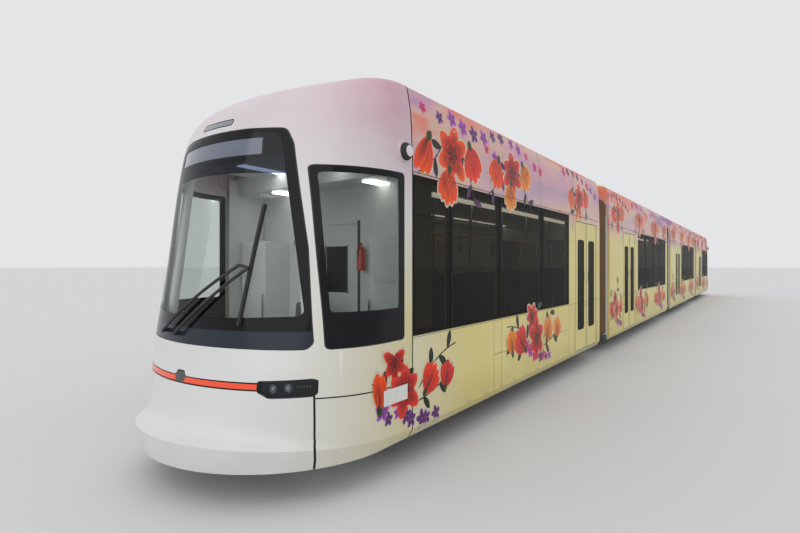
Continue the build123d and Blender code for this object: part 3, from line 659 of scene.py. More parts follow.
def surface_x(y, z):
    """The nose's X at a place seen from the front."""
    points = ring(z, (2, 30, 60))
    best = min(range(len(points) - 1), key=lambda i: abs((points[i][1] + points[i + 1][1]) / 2 - y))
    (x0, y0, _), (x1, y1, _) = points[best], points[best + 1]
    return x0 + (x1 - x0) * (y - y0) / (y1 - y0) if abs(y1 - y0) > 1e-9 else x0


def surface_normal(y, z):
    """The outward direction there."""
    step = 0.01
    along = Vector((surface_x(y + step, z) - surface_x(y - step, z), 2 * step, 0))
    up = Vector((surface_x(y, z + step) - surface_x(y, z - step), 0, 2 * step))
    normal = along.cross(up).normalized()
    return normal if normal.x > 0 else -normal


def below_surface(y, z, depth):
    """A place at some depth below the nose's front, and the outward direction."""
    normal = surface_normal(y, z)
    return Vector((surface_x(y, z), y, z)) - normal * depth, normal


def side_y(x, z):
    """The nose's half width at a place seen from the side."""
    points = [p for p in ring(z, (6, 40, 10)) if p[1] > 0]
    for (x0, y0, _), (x1, y1, _) in pairs(points):
        if x0 <= x <= x1:
            return y0 + (y1 - y0) * (x - x0) / max(x1 - x0, 1e-9)
    return points[0][1]


def lift(outline):
    """Points (y, height over the rail) in the frame."""
    return [(y, RAIL + z) for y, z in outline]


def on_side(outline, radius=0):
    """Points (x ahead of the seam, height over the rail) in the frame, with rounded corners."""
    points = [(SEAM + x, RAIL + z) for x, z in outline]
    return fillet(points, radius) if radius else points


def mirrored(half, radii):
    """A front outline from its left half, given from the middle top round to the middle bottom."""
    return fillet(lift(half + [(-y, z) for y, z in reversed(half)]), radii * 2)


def bar(half, high, low, radius=0, steps=3):
    """A level bar across the middle."""
    points = lift([(-half, high), (half, high), (half, low), (-half, low)])
    return fillet(points, radius, steps) if radius else points


WINDSCREEN = mirrored(
    [(0.4, 2.982), (0.735, 2.965), (0.81, 2.83), (0.86, 2.6), (0.93, 2.26), (0.985, 2.0), (1.035, 1.62)]
    + [(1.085, 1.24), (1.05, 1.19), (0.5, 1.19)],
    [0.6, 0.09, 0.25, 0.5, 0.5, 0.5, 0.5, 0.06, 0.05, 0.5],
)
CLEAR = mirrored(
    [(0.4, 2.955), (0.69, 2.93), (0.745, 2.78), (0.785, 2.6), (0.87, 2.2), (0.94, 1.85), (1.02, 1.47)]
    + [(0.985, 1.44), (0.5, 1.42)],
    [0.6, 0.1, 0.25, 0.5, 0.5, 0.5, 0.05, 0.04, 0.5],
)
VISOR = lift([(-1.2, 2.56), (-0.4, 2.60), (0, 2.61), (0.4, 2.60), (1.2, 2.56), (1.2, 3.2), (-1.2, 3.2)])
SIGN = fillet(lift([(-0.56, 2.90), (0.56, 2.90), (0.575, 2.755), (-0.575, 2.755)]), 0.015, 3)
GREY_BAND = [(-1.3, 1.1), (1.3, 1.1), (1.3, 1.325), (0.6, 1.318), (0, 1.315), (-0.6, 1.318), (-1.3, 1.325)]
GREY_BAND = lift(GREY_BAND)
STRIP = bar(0.785, 0.922, 0.880)
STRIP_EDGE = fillet(
    lift([(-0.8, 0.934), (-0.075, 0.930), (-0.045, 0.972), (0.045, 0.972), (0.075, 0.930), (0.8, 0.934)])
    + lift([(0.8, 0.868), (-0.8, 0.868)]),
    [0, 0.03, 0.02, 0.02, 0.03, 0, 0, 0],
    3,
)
STRIP_BUMP = [(-0.075, 0.925), (-0.038, 0.962), (0.038, 0.962), (0.075, 0.925), (0.06, 0.876), (-0.06, 0.876)]
STRIP_BUMP = fillet(lift(STRIP_BUMP), 0.012, 3)
SLOT = bar(0.205, 3.098, 3.052, 0.022, 4)
SLOT_EDGE = bar(0.215, 3.108, 3.042, 0.03, 4)
SIDE_FRAME = on_side([(0.135, 1.185), (0.95, 1.185), (0.925, 2.65), (0.135, 2.65)], 0.045)
SIDE_CLEAR = on_side([(0.195, 1.465), (0.90, 1.465), (0.885, 2.60), (0.195, 2.60)], 0.035)
SIDE_GROOVE = on_side([(-0.01, 0.784), (1.04, 0.816), (1.04, 0.806), (-0.01, 0.774)])
# The lamp's outline, and the upright groove below it, on the left
LAMP = [(0.765, 0.948), (1.10, 0.965), (1.135, 0.955), (1.135, 0.85)]
LAMP += [(1.115, 0.825), (0.85, 0.815), (0.765, 0.862)]
UPRIGHT = [(1.1165, 0.83), (1.118, 0.65), (1.118, 0.51), (1.121, 0.48), (1.126, 0.454), (1.137, 0.42)]
UPRIGHT += [(1.123, 0.339), (1.104, 0.26), (1.102, 0.25)]
UPRIGHT_HALF = 0.0055
KINDS = "paint mask clear shade sign grey orange bump slot lamp groove seal side".split()


def moved(outline, amount):
    """An outline's points moved away from its middle."""
    middle = [sum(p[k] for p in outline) / len(outline) for k in (0, 1)]
    return [tuple(p[k] + math.copysign(amount, p[k] - middle[k]) for k in (0, 1)) for p in outline]


def lamp_shape(side):
    return fillet(lift([(side * y, z) for y, z in LAMP]), [0.02, 0.03, 0.03, 0.03, 0.03, 0.05, 0.03], 3)


def upright_shape(side):
    moves = (-UPRIGHT_HALF, UPRIGHT_HALF)
    left, right = (lift([(side * (y + move), z) for y, z in UPRIGHT]) for move in moves)
    return left + right[::-1]


LAMPS = [lamp_shape(side) for side in BOTH_SIDES]
UPRIGHTS = [upright_shape(side) for side in BOTH_SIDES]
SEAL = moved(WINDSCREEN, 0.009)
SIDE_SEAL = moved(SIDE_FRAME, 0.008)
AHEAD = SEAM + 0.62  # what lies before this belongs to the front
FLANK = 0.75  # what lies beyond this on either side belongs to the side
FRONT_CUTS = [SEAL, WINDSCREEN, CLEAR, VISOR, SIGN, GREY_BAND, STRIP_EDGE, STRIP, STRIP_BUMP, SLOT_EDGE, SLOT]


def kind_of(x, y, z):
    """What a place of the nose's surface is."""

    def front(*outlines):
        return x > AHEAD and any(inside(outline, y, z) for outline in outlines)

    def flank(outline):
        return abs(y) > FLANK and inside(outline, x, z)

    if front(WINDSCREEN):
        if front(CLEAR):
            return "sign" if front(SIGN) else "shade" if front(VISOR) else "clear"
        return "grey" if front(GREY_BAND) else "mask"
    if front(SEAL):
        return "seal"
    if front(*LAMPS):
        return "lamp"
    if front(STRIP_EDGE):
        return "bump" if front(STRIP_BUMP) else "orange" if front(STRIP) else "mask"
    if front(SLOT_EDGE):
        return "slot" if front(SLOT) else "mask"
    if front(*UPRIGHTS):
        return "groove"
    if flank(SIDE_FRAME):
        return "side" if flank(SIDE_CLEAR) else "mask"
    return "seal" if flank(SIDE_SEAL) else "groove" if flank(SIDE_GROOVE) else "paint"


def nose_mesh():
    """The nose's outer surface, cut along every outline, with each face marked by what it is."""
    bm = bmesh.new()
    keep = bm.verts.layers.float_vector.new("normal")
    shoulder = TOP - 0.09
    heights = [FOLD + (shoulder - FOLD) * i / 64 for i in range(65)]
    heights += [TOP - d for d in (0.075, 0.06, 0.045, 0.03, 0.02, 0.01, 0.0)]
    upper = [ring(z) for z in heights]
    rim = upper[-1]
    for shrink in (0.8, 0.55, 0.25, 0.02):
        upper.append([(SEAM + (x - SEAM) * (0.35 + 0.65 * shrink), y * shrink, z) for x, y, z in rim])
    lower = [ring(BOTTOM + (FOLD - BOTTOM) * i / 3) for i in range(4)]
    for rows in (lower, upper):
        skin(bm, [[bm.verts.new(p) for p in row] for row in rows], closed=False, flip=True)
    bm.normal_update()
    if sum(f.normal.x for f in bm.faces) < 0:
        bmesh.ops.reverse_faces(bm, faces=bm.faces)
        bm.normal_update()
    for vert in bm.verts:
        vert[keep] = vert.normal
    for outline in FRONT_CUTS + LAMPS + UPRIGHTS:
        carve(bm, outline, "X", lambda face: face.calc_center_median().x > AHEAD)
    for outline in (SIDE_SEAL, SIDE_FRAME, SIDE_CLEAR, SIDE_GROOVE):
        for side in BOTH_SIDES:
            carve(bm, outline, "Y", lambda face: side * face.calc_center_median().y > FLANK)
    for face in bm.faces:
        face.material_index = KINDS.index(kind_of(*face.calc_center_median()))
    return bm


def nose_part(source, looks, name, shift=0.0, thick=0.0, well=0.0):
    """The faces of some kinds as a piece, moved inward, given a thickness or sunk into a well.

    looks maps each kind to a material.
    """
    part = Piece(name)
    part.bm.free()
    part.bm = bm = source.copy()
    keep = bm.verts.layers.float_vector["normal"]
    numbers = [KINDS.index(kind) for kind in looks]
    bmesh.ops.delete(bm, geom=[f for f in bm.faces if f.material_index not in numbers], context="FACES")
    for face in bm.faces:
        face.material_index = part.use(looks[KINDS[face.material_index]])
    for vert in bm.verts:
        vert[keep] = vert[keep].normalized()
        vert.co -= vert[keep] * shift
    outer = list(bm.faces)
    depth = well or thick
    if depth:
        rims = [loop for face in outer for loop in face.loops if len(loop.edge.link_faces) == 1]
        rims = [(loop.vert, loop.link_loop_next.vert, loop.face.material_index) for loop in rims]
        twin = {}
        for vert in list(bm.verts):
            twin[vert] = bm.verts.new(vert.co - vert[keep] * depth)
            twin[vert][keep] = vert[keep]
        for face in outer:
            corners = [twin[v] for v in face.verts]
            made = bm.faces.new(corners if well else reversed(corners))
            made.material_index = face.material_index
        for a, b, look in rims:
            bm.faces.new((b, a, twin[a], twin[b])).material_index = look
        if well:
            bmesh.ops.delete(bm, geom=outer, context="FACES_ONLY")
    bm.normal_update()
    return part


def follow(piece, edge, x, width):
    """A thin dark line across X that follows an outline of (y, z) points."""
    low, high = about(x, width / 2)
    for (y0, z0), (y1, z1) in pairs(edge):
        away = Vector((0, z1 - z0, y0 - y1)).normalized() * 0.0012
        spots = [(low, y0, z0), (high, y0, z0), (high, y1, z1), (low, y1, z1)]
        piece.panel([(a, b + away.y, c + away.z) for a, b, c in spots], "groove")


# Pieces of the nose's surface: name, each kind's material, depths, slot, the CAD node that they stand for
NOSE_PARTS = [
    ("nose_skin", {"paint": "pearl"}, {"thick": 0.03}, "cab_paint", "cab_shell"),
    ("nose_grooves", {"groove": "groove"}, {"shift": 0.007, "thick": 0.02}, "lamp_black", None),
    ("cab_seals", {"seal": "rubber"}, {"shift": 0.0015, "thick": 0.02}, "lamp_black", None),
    (
        "nose_mask",
        {"mask": "mask", "grey": "mask_lower", "bump": "cover_grey", "slot": "slot_lens", "orange": "orange"},
        {"thick": 0.012},
        "lamp_black",
        None,
    ),
    ("cab_panes", {"clear": "clear", "shade": "shade", "side": "side_clear"}, {}, "dark_glass", "cab_glass"),
    ("destination_blank", {"sign": "sign"}, {"shift": 0.003, "thick": 0.03}, "lamp_black", None),
    ("headlamp_covers", {"lamp": "lamp_cover"}, {"shift": 0.002}, "lamp_black", None),
    ("headlamp_wells", {"lamp": "lamp_well"}, {"shift": 0.0005, "well": 0.05}, "lamp_black", None),
]
LAMP_RADIUS = 0.034
BOWL = [(0, 1.05), (0.026, 1.1), (0.028, 0.95), (0.012, 0.5), (0.008, 0)]
DOME = [(0.018, 0.8), (0.027, 0.62), (0.031, 0.3), (0.032, 0)]
POD_FOOT = [(-0.06, 0.110), (-0.004, 0.106), (0.002, 0.099), (0.002, 0.094), (0.012, 0.092), (0.016, 0.087)]
POD = [
    (POD_FOOT + [(0.016, 0.076)], "pearl", 44),
    ([(0.008, 0.080), (0.030, 0.079), (0.046, 0.070), (0.058, 0.058), (0.062, 0.051)], "rubber", 44),
    ([(0.058, 0.052), (0.064, 0.050), (0.068, 0.045), (0.0695, 0.030), (0.0698, 0)], "pod_glass", 40),
]


def lamps_and_pods(piece):
    """Headlamps, marker lights, camera pods, the blank plate and the seam lines."""
    for _ in piece.sides():
        for y, height in ((0.872, 0.884), (0.972, 0.890)):
            base, normal = below_surface(y, RAIL + height, 0.049)
            for shape, look in ((BOWL, "dark_chrome"), (DOME, "lens")):
                piece.lathe([(along, share * LAMP_RADIUS) for along, share in shape], base, normal, look, 28)
        for k in range(5):
            base, normal = below_surface(1.03 + 0.017 * k, RAIL + 0.9, 0.045)
            piece.lathe([(0, 0.007), (0.006, 0.007), (0.01, 0.004), (0.0102, 0)], base, normal, "lens", 16)
        for profile, look, count in POD:
            piece.lathe(profile, (SEAM + 0.135, HALF, RAIL + 2.85), (0, 1, 0), look, count)
        xs = [SEAM + 0.09 + 0.35 * k / 8 for k in range(9)]
        plate = [(x, RAIL + 0.64) for x in xs] + [(x, RAIL + 0.775) for x in xs[::-1]]
        piece.panel([(x, side_y(x, z) + 0.006, z) for x, z in plate], "plate")
        levels = [BOTTOM, FOLD] + [WALL_TOP + (TOP - WALL_TOP) * k / 40 for k in range(41)]
        edge = [(ring(z, (2, 2, 2))[0][1], z) for z in levels] + [(0.99, TOP)]
        follow(piece, edge, SEAM + 0.002, 0.014)
        for x0, x1 in pairs([1.03 * k / 26 for k in range(27)]):
            quad = [(x0, 0.774), (x0, 0.784), (x1, 0.784), (x1, 0.774)]
            quad = [(SEAM + x, RAIL + height + 0.0308 * x) for x, height in quad]
            piece.panel([(x, side_y(x, z) + 0.0016, z) for x, z in quad], "groove")


# The cab's boxes: x ahead of the seam, y, height over the rail, material, bevel
CAB_SIDE_BOXES = [
    ((-0.45, -0.4), (0.36, 1.25), (0.36, 2.7), "pale", 0.004),
    ((-0.455, -0.395), (0.325, 0.36), (0.36, 2.33), "trim", 0.004),
    ((-0.4, -0.04), (0.78, 1.22), (0.36, 2.12), "pale", 0.02),
    ((-0.045, -0.036), (0.84, 1.16), (0.62, 1.12), "alloy", 0.004),
    ((-0.045, -0.036), (0.84, 1.16), (1.66, 2.04), "plate", 0.004),
]
LEAF = (-0.44, -0.41)
CAB_DOOR_BOXES = [
    ((-0.45, -0.4), (-0.36, 0.36), (2.3, 2.7), "pale", 0.004),
    (LEAF, (-0.33, 0.33), (0.36, 1.53), "pale", 0.006),
    (LEAF, (-0.33, 0.33), (2.05, 2.3), "pale", 0.006),
    (LEAF, (-0.33, -0.16), (1.52, 2.06), "pale", 0.006),
    (LEAF, (0.16, 0.33), (1.52, 2.06), "pale", 0.006),
    ((-0.412, -0.404), (-0.172, -0.16), (1.52, 2.06), "trim", 0.002),
    ((-0.412, -0.404), (0.16, 0.172), (1.52, 2.06), "trim", 0.002),
    ((-0.43, -0.42), (-0.17, 0.17), (1.51, 2.07), "dark_glass", 0.001),
]
WALL_LAMP = [(0, 0.055), (0.02, 0.055), (0.03, 0.03), (0.032, 0)]
DESK = [(0.78, 0.36), (1.04, 0.36), (1.09, 1.07), (1.0, 1.11)]
DESK += [(0.62, 1.13), (0.6, 1.10), (0.62, 1.06), (0.78, 0.99)]
HOOD = [(0.86, 1.10), (1.07, 1.08), (1.05, 1.20), (0.93, 1.24), (0.87, 1.2)]
BUTTON = [(0, 0.011), (0.008, 0.011), (0.010, 0.008), (0.0101, 0)]
LEVER_KNOB = [(0, 0.012), (0.01, 0.025), (0.03, 0.028), (0.045, 0.02), (0.05, 0)]
EXTINGUISHER = [(0, 0.045), (0.22, 0.045), (0.25, 0.032), (0.27, 0.015), (0.295, 0.015), (0.296, 0)]
SEAT_FOOT = [(0, 0.25), (0.03, 0.26), (0.05, 0.12), (0.06, 0.1), (0.30, 0.09), (0.31, 0)]
UP = (0, 0, 1)


def cab_room(piece):
    """The cab as seen through the windscreen."""
    for _ in piece.sides():
        for row in CAB_SIDE_BOXES:
            piece.box(*row)
        piece.tube([(-0.015, 0.80, 0.8), (-0.015, 0.80, 1.5)], 0.012, "chrome")
        piece.lathe(WALL_LAMP, (-0.4, 0.62, 2.1), (1, 0, 0), "lens", 24)
    for row in CAB_DOOR_BOXES:
        piece.box(*row)
    piece.tube([(-0.41, 0.28, 1.22), (-0.37, 0.28, 1.22), (-0.365, 0.18, 1.22)], 0.009, "chrome")
    piece.prism(DESK, 0.88, "console")
    piece.prism(HOOD, 0.62, "trim")
    for y, half in ((-0.42, 0.15), (0, 0.19), (0.42, 0.15)):
        piece.box((0.862, 0.872), about(y, half), (1.115, 1.195), "screen", 0.003)
    for k in range(12):
        look = ("red", "yellow", "alloy")[k % 3]
        piece.lathe(BUTTON, (0.71, -0.56 + k * 0.1, 1.125), (-0.05, 0, 1), look, 16)
    for y in (-0.3, 0.3):
        piece.tube([(0.74, y, 1.12), (0.73, y, 1.2)], 0.012, "chrome")
        piece.lathe(LEVER_KNOB, (0.73, y, 1.19), (-0.1, 0, 1), "trim", 20)
    piece.lathe(EXTINGUISHER, (-0.33, 0.43, 1.78), UP, "red", 24)
    piece.tube([(-0.33, 0.43, 2.07), (-0.29, 0.43, 2.05), (-0.275, 0.43, 1.93)], 0.007, "rubber")
    piece.box((-0.4, -0.37), (0.41, 0.45), (1.81, 2.0), "alloy", 0.003)
    piece.lathe(SEAT_FOOT, (0.25, 0, 0.36), UP, "trim", 32)
    for y in (-0.45, 0.45):
        piece.box((-0.25, 0.55), about(y, 0.06), (2.86, 2.875), "cab_light", 0.004)
    piece.box((-0.4, 0.62), (-1.0, 1.0), (2.87, 2.89), "pale", 0.004)
    for _ in piece.sides():
        piece.box((-0.39, 0.12), (1.238, 1.25), (0.36, 2.86), "pale", 0.003)
        piece.box((0.12, 0.86), (1.2, 1.23), (0.36, 1.17), "pale", 0.003)
        # The post between the windscreen and the side pane
        post = [below_surface(1.08 - 0.155 * k * 0.15, RAIL + 1.15 + k * 0.15, 0.095)[0] for k in range(12)]
        piece.tube([spot - Vector(piece.origin) for spot in post], 0.045, "pale", 16)


# The driver's seat: part, size, middle ahead of the seam and over the rail, tilt
DRIVER_SEAT = [
    ("cushion", (0.46, 0.46, 0.12), (0.25, 0, 0.77), 0),
    ("backrest", (0.11, 0.44, 0.64), (-0.01, 0, 1.12), -0.08),
    ("headrest", (0.09, 0.26, 0.16), (-0.045, 0, 1.53), -0.08),
]


def cab(rear):
    """Everything of one nose; the rear one is the front one turned half round."""
    end, body = ("rear", "section_4") if rear else ("front", "section_1")
    surface = nose_mesh()
    for name, looks, depths, slot, node in NOSE_PARTS:
        part = nose_part(surface, looks, f"{end}_{name}", **depths)
        part.done(body, slot, [f"{end}_{node}"] if node else (), rear=rear)
    surface.free()
    lamps = Piece(f"{end}_lamps_and_pods")
    lamps_and_pods(lamps)
    lamps.done(body, "lamp_black", [f"{end}_cab_lamps"], rear=rear)
    origin = (SEAM, 0, RAIL)
    room = Piece(f"{end}_cab_room", origin)
    cab_room(room)
    room.done(body, "cab_trim", [f"{end}_cab_fittings"], rear=rear)
    for name, size, spot, tilt in DRIVER_SEAT:
        seat = Piece(f"{end}_driver_{name}", origin)
        place = Matrix.Translation(spot) @ Matrix.Rotation(tilt, 4, "Y")
        seat.box(*(about(0, value / 2) for value in size), "fabric", min(size) * 0.38, place)
        made = seat.done(body, "cab_trim", smooth=75, rear=rear)
        rounding = made.modifiers.new("SUBSURF", "SUBSURF")
        rounding.levels = rounding.render_levels = 2


for turned in (False, True):
    cab(turned)


# Bodysides

# Rear end, front end and bogie centre of each section
SECTIONS = {
    1: (PITCH + END, SEAM, 13.66),
    2: (END, PITCH - END, 4.5),
    3: (END - PITCH, -END, -4.5),
    4: (-SEAM, -PITCH - END, -13.66),
}
# Kind of each section's left side, the end that it is counted from, and the direction away from that end
SIDES = {
    1: ("door_at_gangway", PITCH + END, 1),
    2: ("middle", PITCH - END, -1),
    3: ("middle", -END, -1),
    4: ("door_inboard", -PITCH - END, -1),
}
DOORS = {"door_at_gangway": (0.26, 1.60), "door_inboard": (1.34, 2.68), "middle": (1.34, 2.68)}
PANES = {
    "door_at_gangway": [1.965, 3.18, 4.67, 5.87, 6.59],
    "door_inboard": [3.05, 4.30, 5.58, 6.59],
    "middle": [3.05, 4.26, 5.47, 6.68, 7.77],
}
OUTWARD = (0, 1, 0)
BUTTON_RIM = [(0, 0.030), (0.004, 0.030), (0.006, 0.026), (0.006, 0.021)]
BUTTON_CAP = [(0.004, 0.0205), (0.0075, 0.018), (0.0085, 0.010), (0.0086, 0)]
LATCH = [(-0.002, 0.017), (0.0012, 0.017), (0.0022, 0.014), (0.0022, 0.006), (0.0008, 0.004), (0.0008, 0)]
# Depths from the wall's face, and heights over the rail
SEAL_Y = (-0.012, 0.0008)
SEAM_Y = (-0.001, 0.0006)
DOORWAY_Y = (-0.055, 0.0015)
RAIL_Y = (-0.001, 0.004)
PANEL_Z = (0.35, 1.18)
DOOR_Z = (0.345, 2.6)
# Outer and inner edge of a door window's seal: half width, bottom, top, corner radius, depth
DOOR_PANE = [(0.2, 0.693, 2.287, 0.078, -0.0024), (0.189, 0.704, 2.276, 0.067, -0.0008)]


def window_trim(piece, edges, start, way):
    """Window seals, joints and the dividers behind them."""
    ends = [start + way * edge for edge in edges]
    behind = (WINDOWS[0] + 0.03, WINDOWS[1] - 0.03)
    for x in ends:
        piece.box(about(x, 0.0045), SEAL_Y, WINDOWS, "rubber", 0.001)
        if x not in (ends[0], ends[-1]):
            piece.box(about(x, 0.05), (-0.035, -0.0095), behind, "trim", 0.002)
    for z in WINDOWS:
        piece.box((ends[0], ends[-1]), SEAL_Y, about(z, 0.004), "rubber", 0.001)
    for a, b in list(pairs(ends))[1:]:
        piece.box((a + way * 0.03, b - way * 0.03), (-0.010, -0.0083), (2.305, 2.32), "trim", 0.0005)


def door_trim(piece, x0, x1):
    """Seal frame, sill, leaves' joint, door windows' seals, buttons and grips of a doorway."""
    bottom, top = DOOR_Z
    for x in (x0, x1):
        piece.box(about(x, 0.004), DOORWAY_Y, DOOR_Z, "rubber", 0.002)
    piece.box((x0, x1), DOORWAY_Y, about(top, 0.004), "rubber", 0.002)
    piece.box((x0 + 0.01, x1 - 0.01), (-0.05, 0.006), (bottom - 0.028, bottom - 0.002), "alloy", 0.004)
    for k in range(5):
        y = -0.044 + k * 0.0105
        piece.box((x0 + 0.02, x1 - 0.02), (y, y + 0.004), (bottom - 0.003, bottom + 0.0015), "trim", 0.0008)
    middle = (x0 + x1) / 2
    piece.box(about(middle, 0.012), (-0.022, -0.001), (bottom + 0.01, top - 0.01), "rubber", 0.004)
    for way, (a, b) in ((1, (x0 + 0.006, middle - 0.003)), (-1, (middle + 0.003, x1 - 0.006))):
        centre = (a + b) / 2
        rows = []
        for half, low, high, radius, y in DOOR_PANE:
            left, right = about(centre, half)
            loop = fillet([(left, low), (right, low), (right, high), (left, high)], radius)
            rows.append([piece.bm.verts.new(piece.at(x, y, z)) for x, z in loop])
        skin(piece.bm, rows)
        piece.keep(sum(rows, []), "rubber")
        for profile, look in ((BUTTON_RIM, "chrome"), (BUTTON_CAP, "yellow")):
            piece.lathe(profile, (middle - way * 0.075, -0.004, 1.12), OUTWARD, look, 28)
        piece.box(about(centre + way * 0.215, 0.010), (-0.006, -0.0022), (1.55, 1.72), "trim", 0.002)


def trim_side(number, turn):
    """Trim of one bodyside, built on the left; the right side is another section's left turned round."""
    target = 5 - number if turn else number
    kind, start, way = SIDES[number]
    rear, front, bogie = SECTIONS[number]
    piece = Piece(f"section_{target}_{'right' if turn else 'left'}_trim", (0, HALF, RAIL))
    edges = PANES[kind]
    window_trim(piece, edges, start, way)
    x0, x1 = sorted(start + way * a for a in DOORS[kind])
    door_trim(piece, x0, x1)
    # Panels below the windows: seams, hatches' latches
    for x in (x0 - 0.075, x1 + 0.075):
        if rear + 0.05 < x < front - 0.02:
            piece.box(about(x, 0.0022), SEAM_Y, PANEL_Z, "groove", 0)
    first = edges[0]
    seams = edges if kind == "middle" else [first, first + 1.23, edges[2] - 0.02, edges[2] + 0.19]
    for x in (start + way * a for a in seams):
        if rear + 0.03 < x < front - 0.03:
            piece.box(about(x, 0.002), SEAM_Y, PANEL_Z, "groove", 0)
    piece.box((start + way * first, start + way * seams[-1]), SEAM_Y, (0.765, 0.7695), "groove", 0)
    piece.box((rear + 0.01, front - 0.01), SEAM_Y, (1.172, 1.176), "groove", 0)
    for a, b in pairs(seams):
        if b - a < 0.5:
            continue
        for place in (a + 0.16, b - 0.16):
            for z in (0.43, 0.70):
                piece.lathe(LATCH, (start + way * place, 0, z), OUTWARD, "alloy", 20)
    # Skirt flap hinges along the bogie and a drip rail above the windows
    for k in range(-3, 4):
        x = bogie + k * 0.42
        if not x0 - 0.1 < x < x1 + 0.1:
            piece.box(about(x, 0.035), RAIL_Y, (0.352, 0.367), "alloy", 0.002)
    piece.box((rear + 0.004, front - 0.004), RAIL_Y, (2.693, 2.699), "trim", 0.0015)
    piece.done(f"section_{target}", "frame_paint", rear=turn)


for number in SECTIONS:
    for turned in (False, True):
        trim_side(number, turned)


# Roofs

# Share of the roof's length, half width, height and number of fans of each unit
GEAR_ROWS = [(0.43, 0.9, 0.52, 3), (0.32, 0.85, 0.43, 0), (0.25, 0.9, 0.48, 2)]
GEAR_MARGIN, GEAR_GAP = 0.37, 0.25
CEILING = WALL_TOP + 0.08
GUARD_RING = [(0.041, -0.005), (0.047, -0.004), (0.047, 0.004), (0.041, 0.005)]


def fan(piece, x, top):
    """A fan's guard rings, spokes and hub."""
    for radius in (0.06, 0.11, 0.16, 0.215):
        rim = [(along, radius + wide) for along, wide in GUARD_RING]
        piece.lathe(rim, (x, 0, top), UP, "trim", 36)
    for spoke in range(6):
        turn = Matrix.Translation((x, 0, top + 0.044)) @ Matrix.Rotation(spoke * math.pi / 3, 4, "Z")
        piece.box((0.02, 0.222), (-0.005, 0.005), (-0.003, 0.004), "trim", 0.001, turn)
    piece.lathe([(0.035, 0.035), (0.052, 0.035), (0.055, 0.028), (0.055, 0)], (x, 0, top), UP, "alloy", 24)


def roof_trim(number):
    """Grilles, ducts, panel lids, lifting eyes and fairing seams of one roof."""
    rear, front, _ = SECTIONS[number]
    piece = Piece(f"section_{number}_roof_fittings")
    room = front - rear - 2 * GEAR_MARGIN - 2 * GEAR_GAP
    low = rear + GEAR_MARGIN
    for share, half, height, fans in GEAR_ROWS:
        high = low + share * room
        top = CEILING + height
        for k in range(fans):
            fan(piece, low + (high - low) * (k + 0.5) / fans, top)
        if not fans:
            for k in range(9):
                y = about(-0.6 + k * 0.15, 0.02)
                piece.box((low + 0.12, high - 0.12), y, (top - 0.004, top + 0.022), "gear", 0.006)
        grille = ((half - 0.002, half + 0.006), (top - 0.30, top - 0.08))
        foot = ((half - 0.16, half - 0.06), (top - 0.004, top + 0.012))
        for _ in piece.sides():
            for k in range(int((high - low - 0.2) / 0.055)):
                x = low + 0.1 + k * 0.055
                if k % 12 < 9:
                    piece.box((x, x + 0.03), *grille, "trim", 0.002)
            for x in (low + 0.07, high - 0.07):
                piece.box(about(x, 0.03), *foot, "alloy", 0.004)
                turns = [math.pi * q / 8 for q in range(9)]
                eye = [(x, half - 0.11 + 0.03 * math.cos(t), top + 0.01 + 0.035 * math.sin(t)) for t in turns]
                piece.tube(eye[:: piece.side], 0.006, "alloy", 10)
        for x in (low + 0.02, (low + high) / 2, high - 0.02):
            piece.box(about(x, 0.008), about(0, half - 0.05), (top - 0.003, top + 0.004), "gear", 0.002)
        low = high + GEAR_GAP
    # Cable ducts between the units and the fairings, and the seams of the fairing's panels
    edge = [(HALF, WALL_TOP)] + FAIRING + [(0.99, TOP)]
    panels = max(3, round((front - rear) / 1.5))
    ends = (rear + 0.06, front - 0.06)
    for _ in piece.sides():
        piece.box(ends, (0.93, 1.05), (CEILING - 0.002, CEILING + 0.07), "alloy", 0.008)
        piece.tube([(x, 1.10, CEILING + 0.05) for x in ends], 0.022, "rubber")
        x = rear + 0.5
        while x < front - 0.3:
            piece.box((x, x + 0.03), (0.92, 1.14), (CEILING + 0.045, CEILING + 0.082), "gear", 0.003)
            x += 0.9
        for k in range(1, panels):
            follow(piece, edge, rear + (front - rear) * k / panels, 0.0045)
    piece.done(f"section_{number}", "gear_paint")


for number in SECTIONS:
    roof_trim(number)


# Bellows

PLEATS = 10
# Share of a pleat and depth of the cloth there; the ridge lies between the third and the fifth
PLEAT = [(0.0, 0.052), (0.22, 0.02), (0.40, 0.002), (0.5, 0.0), (0.60, 0.002), (0.78, 0.02)]
CLOTH_LOW, CLOTH_HIGH = RAIL + 0.395, RAIL + 3.24
CLOTH_HALF, CLOTH_WALL = 1.255, 0.11
RIM_BOLT = [(0, 0.008), (0.004, 0.008), (0.006, 0.005), (0.0062, 0)]


def passage(inset, corner):
    """An upright arch of (y, z) points with rounded upper corners, from the left foot to the right one."""
    half, top = CLOTH_HALF - inset, CLOTH_HIGH - inset
    rounded = [(half, CLOTH_LOW)]
    for sign, first in ((1, 0), (-1, math.pi / 2)):
        for q in range(9):
            angle = first + math.pi / 2 * q / 8
            y = sign * (half - corner) + corner * math.cos(angle)
            rounded.append((y, top - corner + corner * math.sin(angle)))
    rounded.append((-half, CLOTH_LOW))
    dense = []
    for (y0, z0), (y1, z1) in pairs(rounded):
        parts = max(1, int(math.hypot(y1 - y0, z1 - z0) / 0.12))
        dense += [(y0 + (y1 - y0) * t / parts, z0 + (z1 - z0) * t / parts) for t in range(parts)]
    return dense + [rounded[-1]]


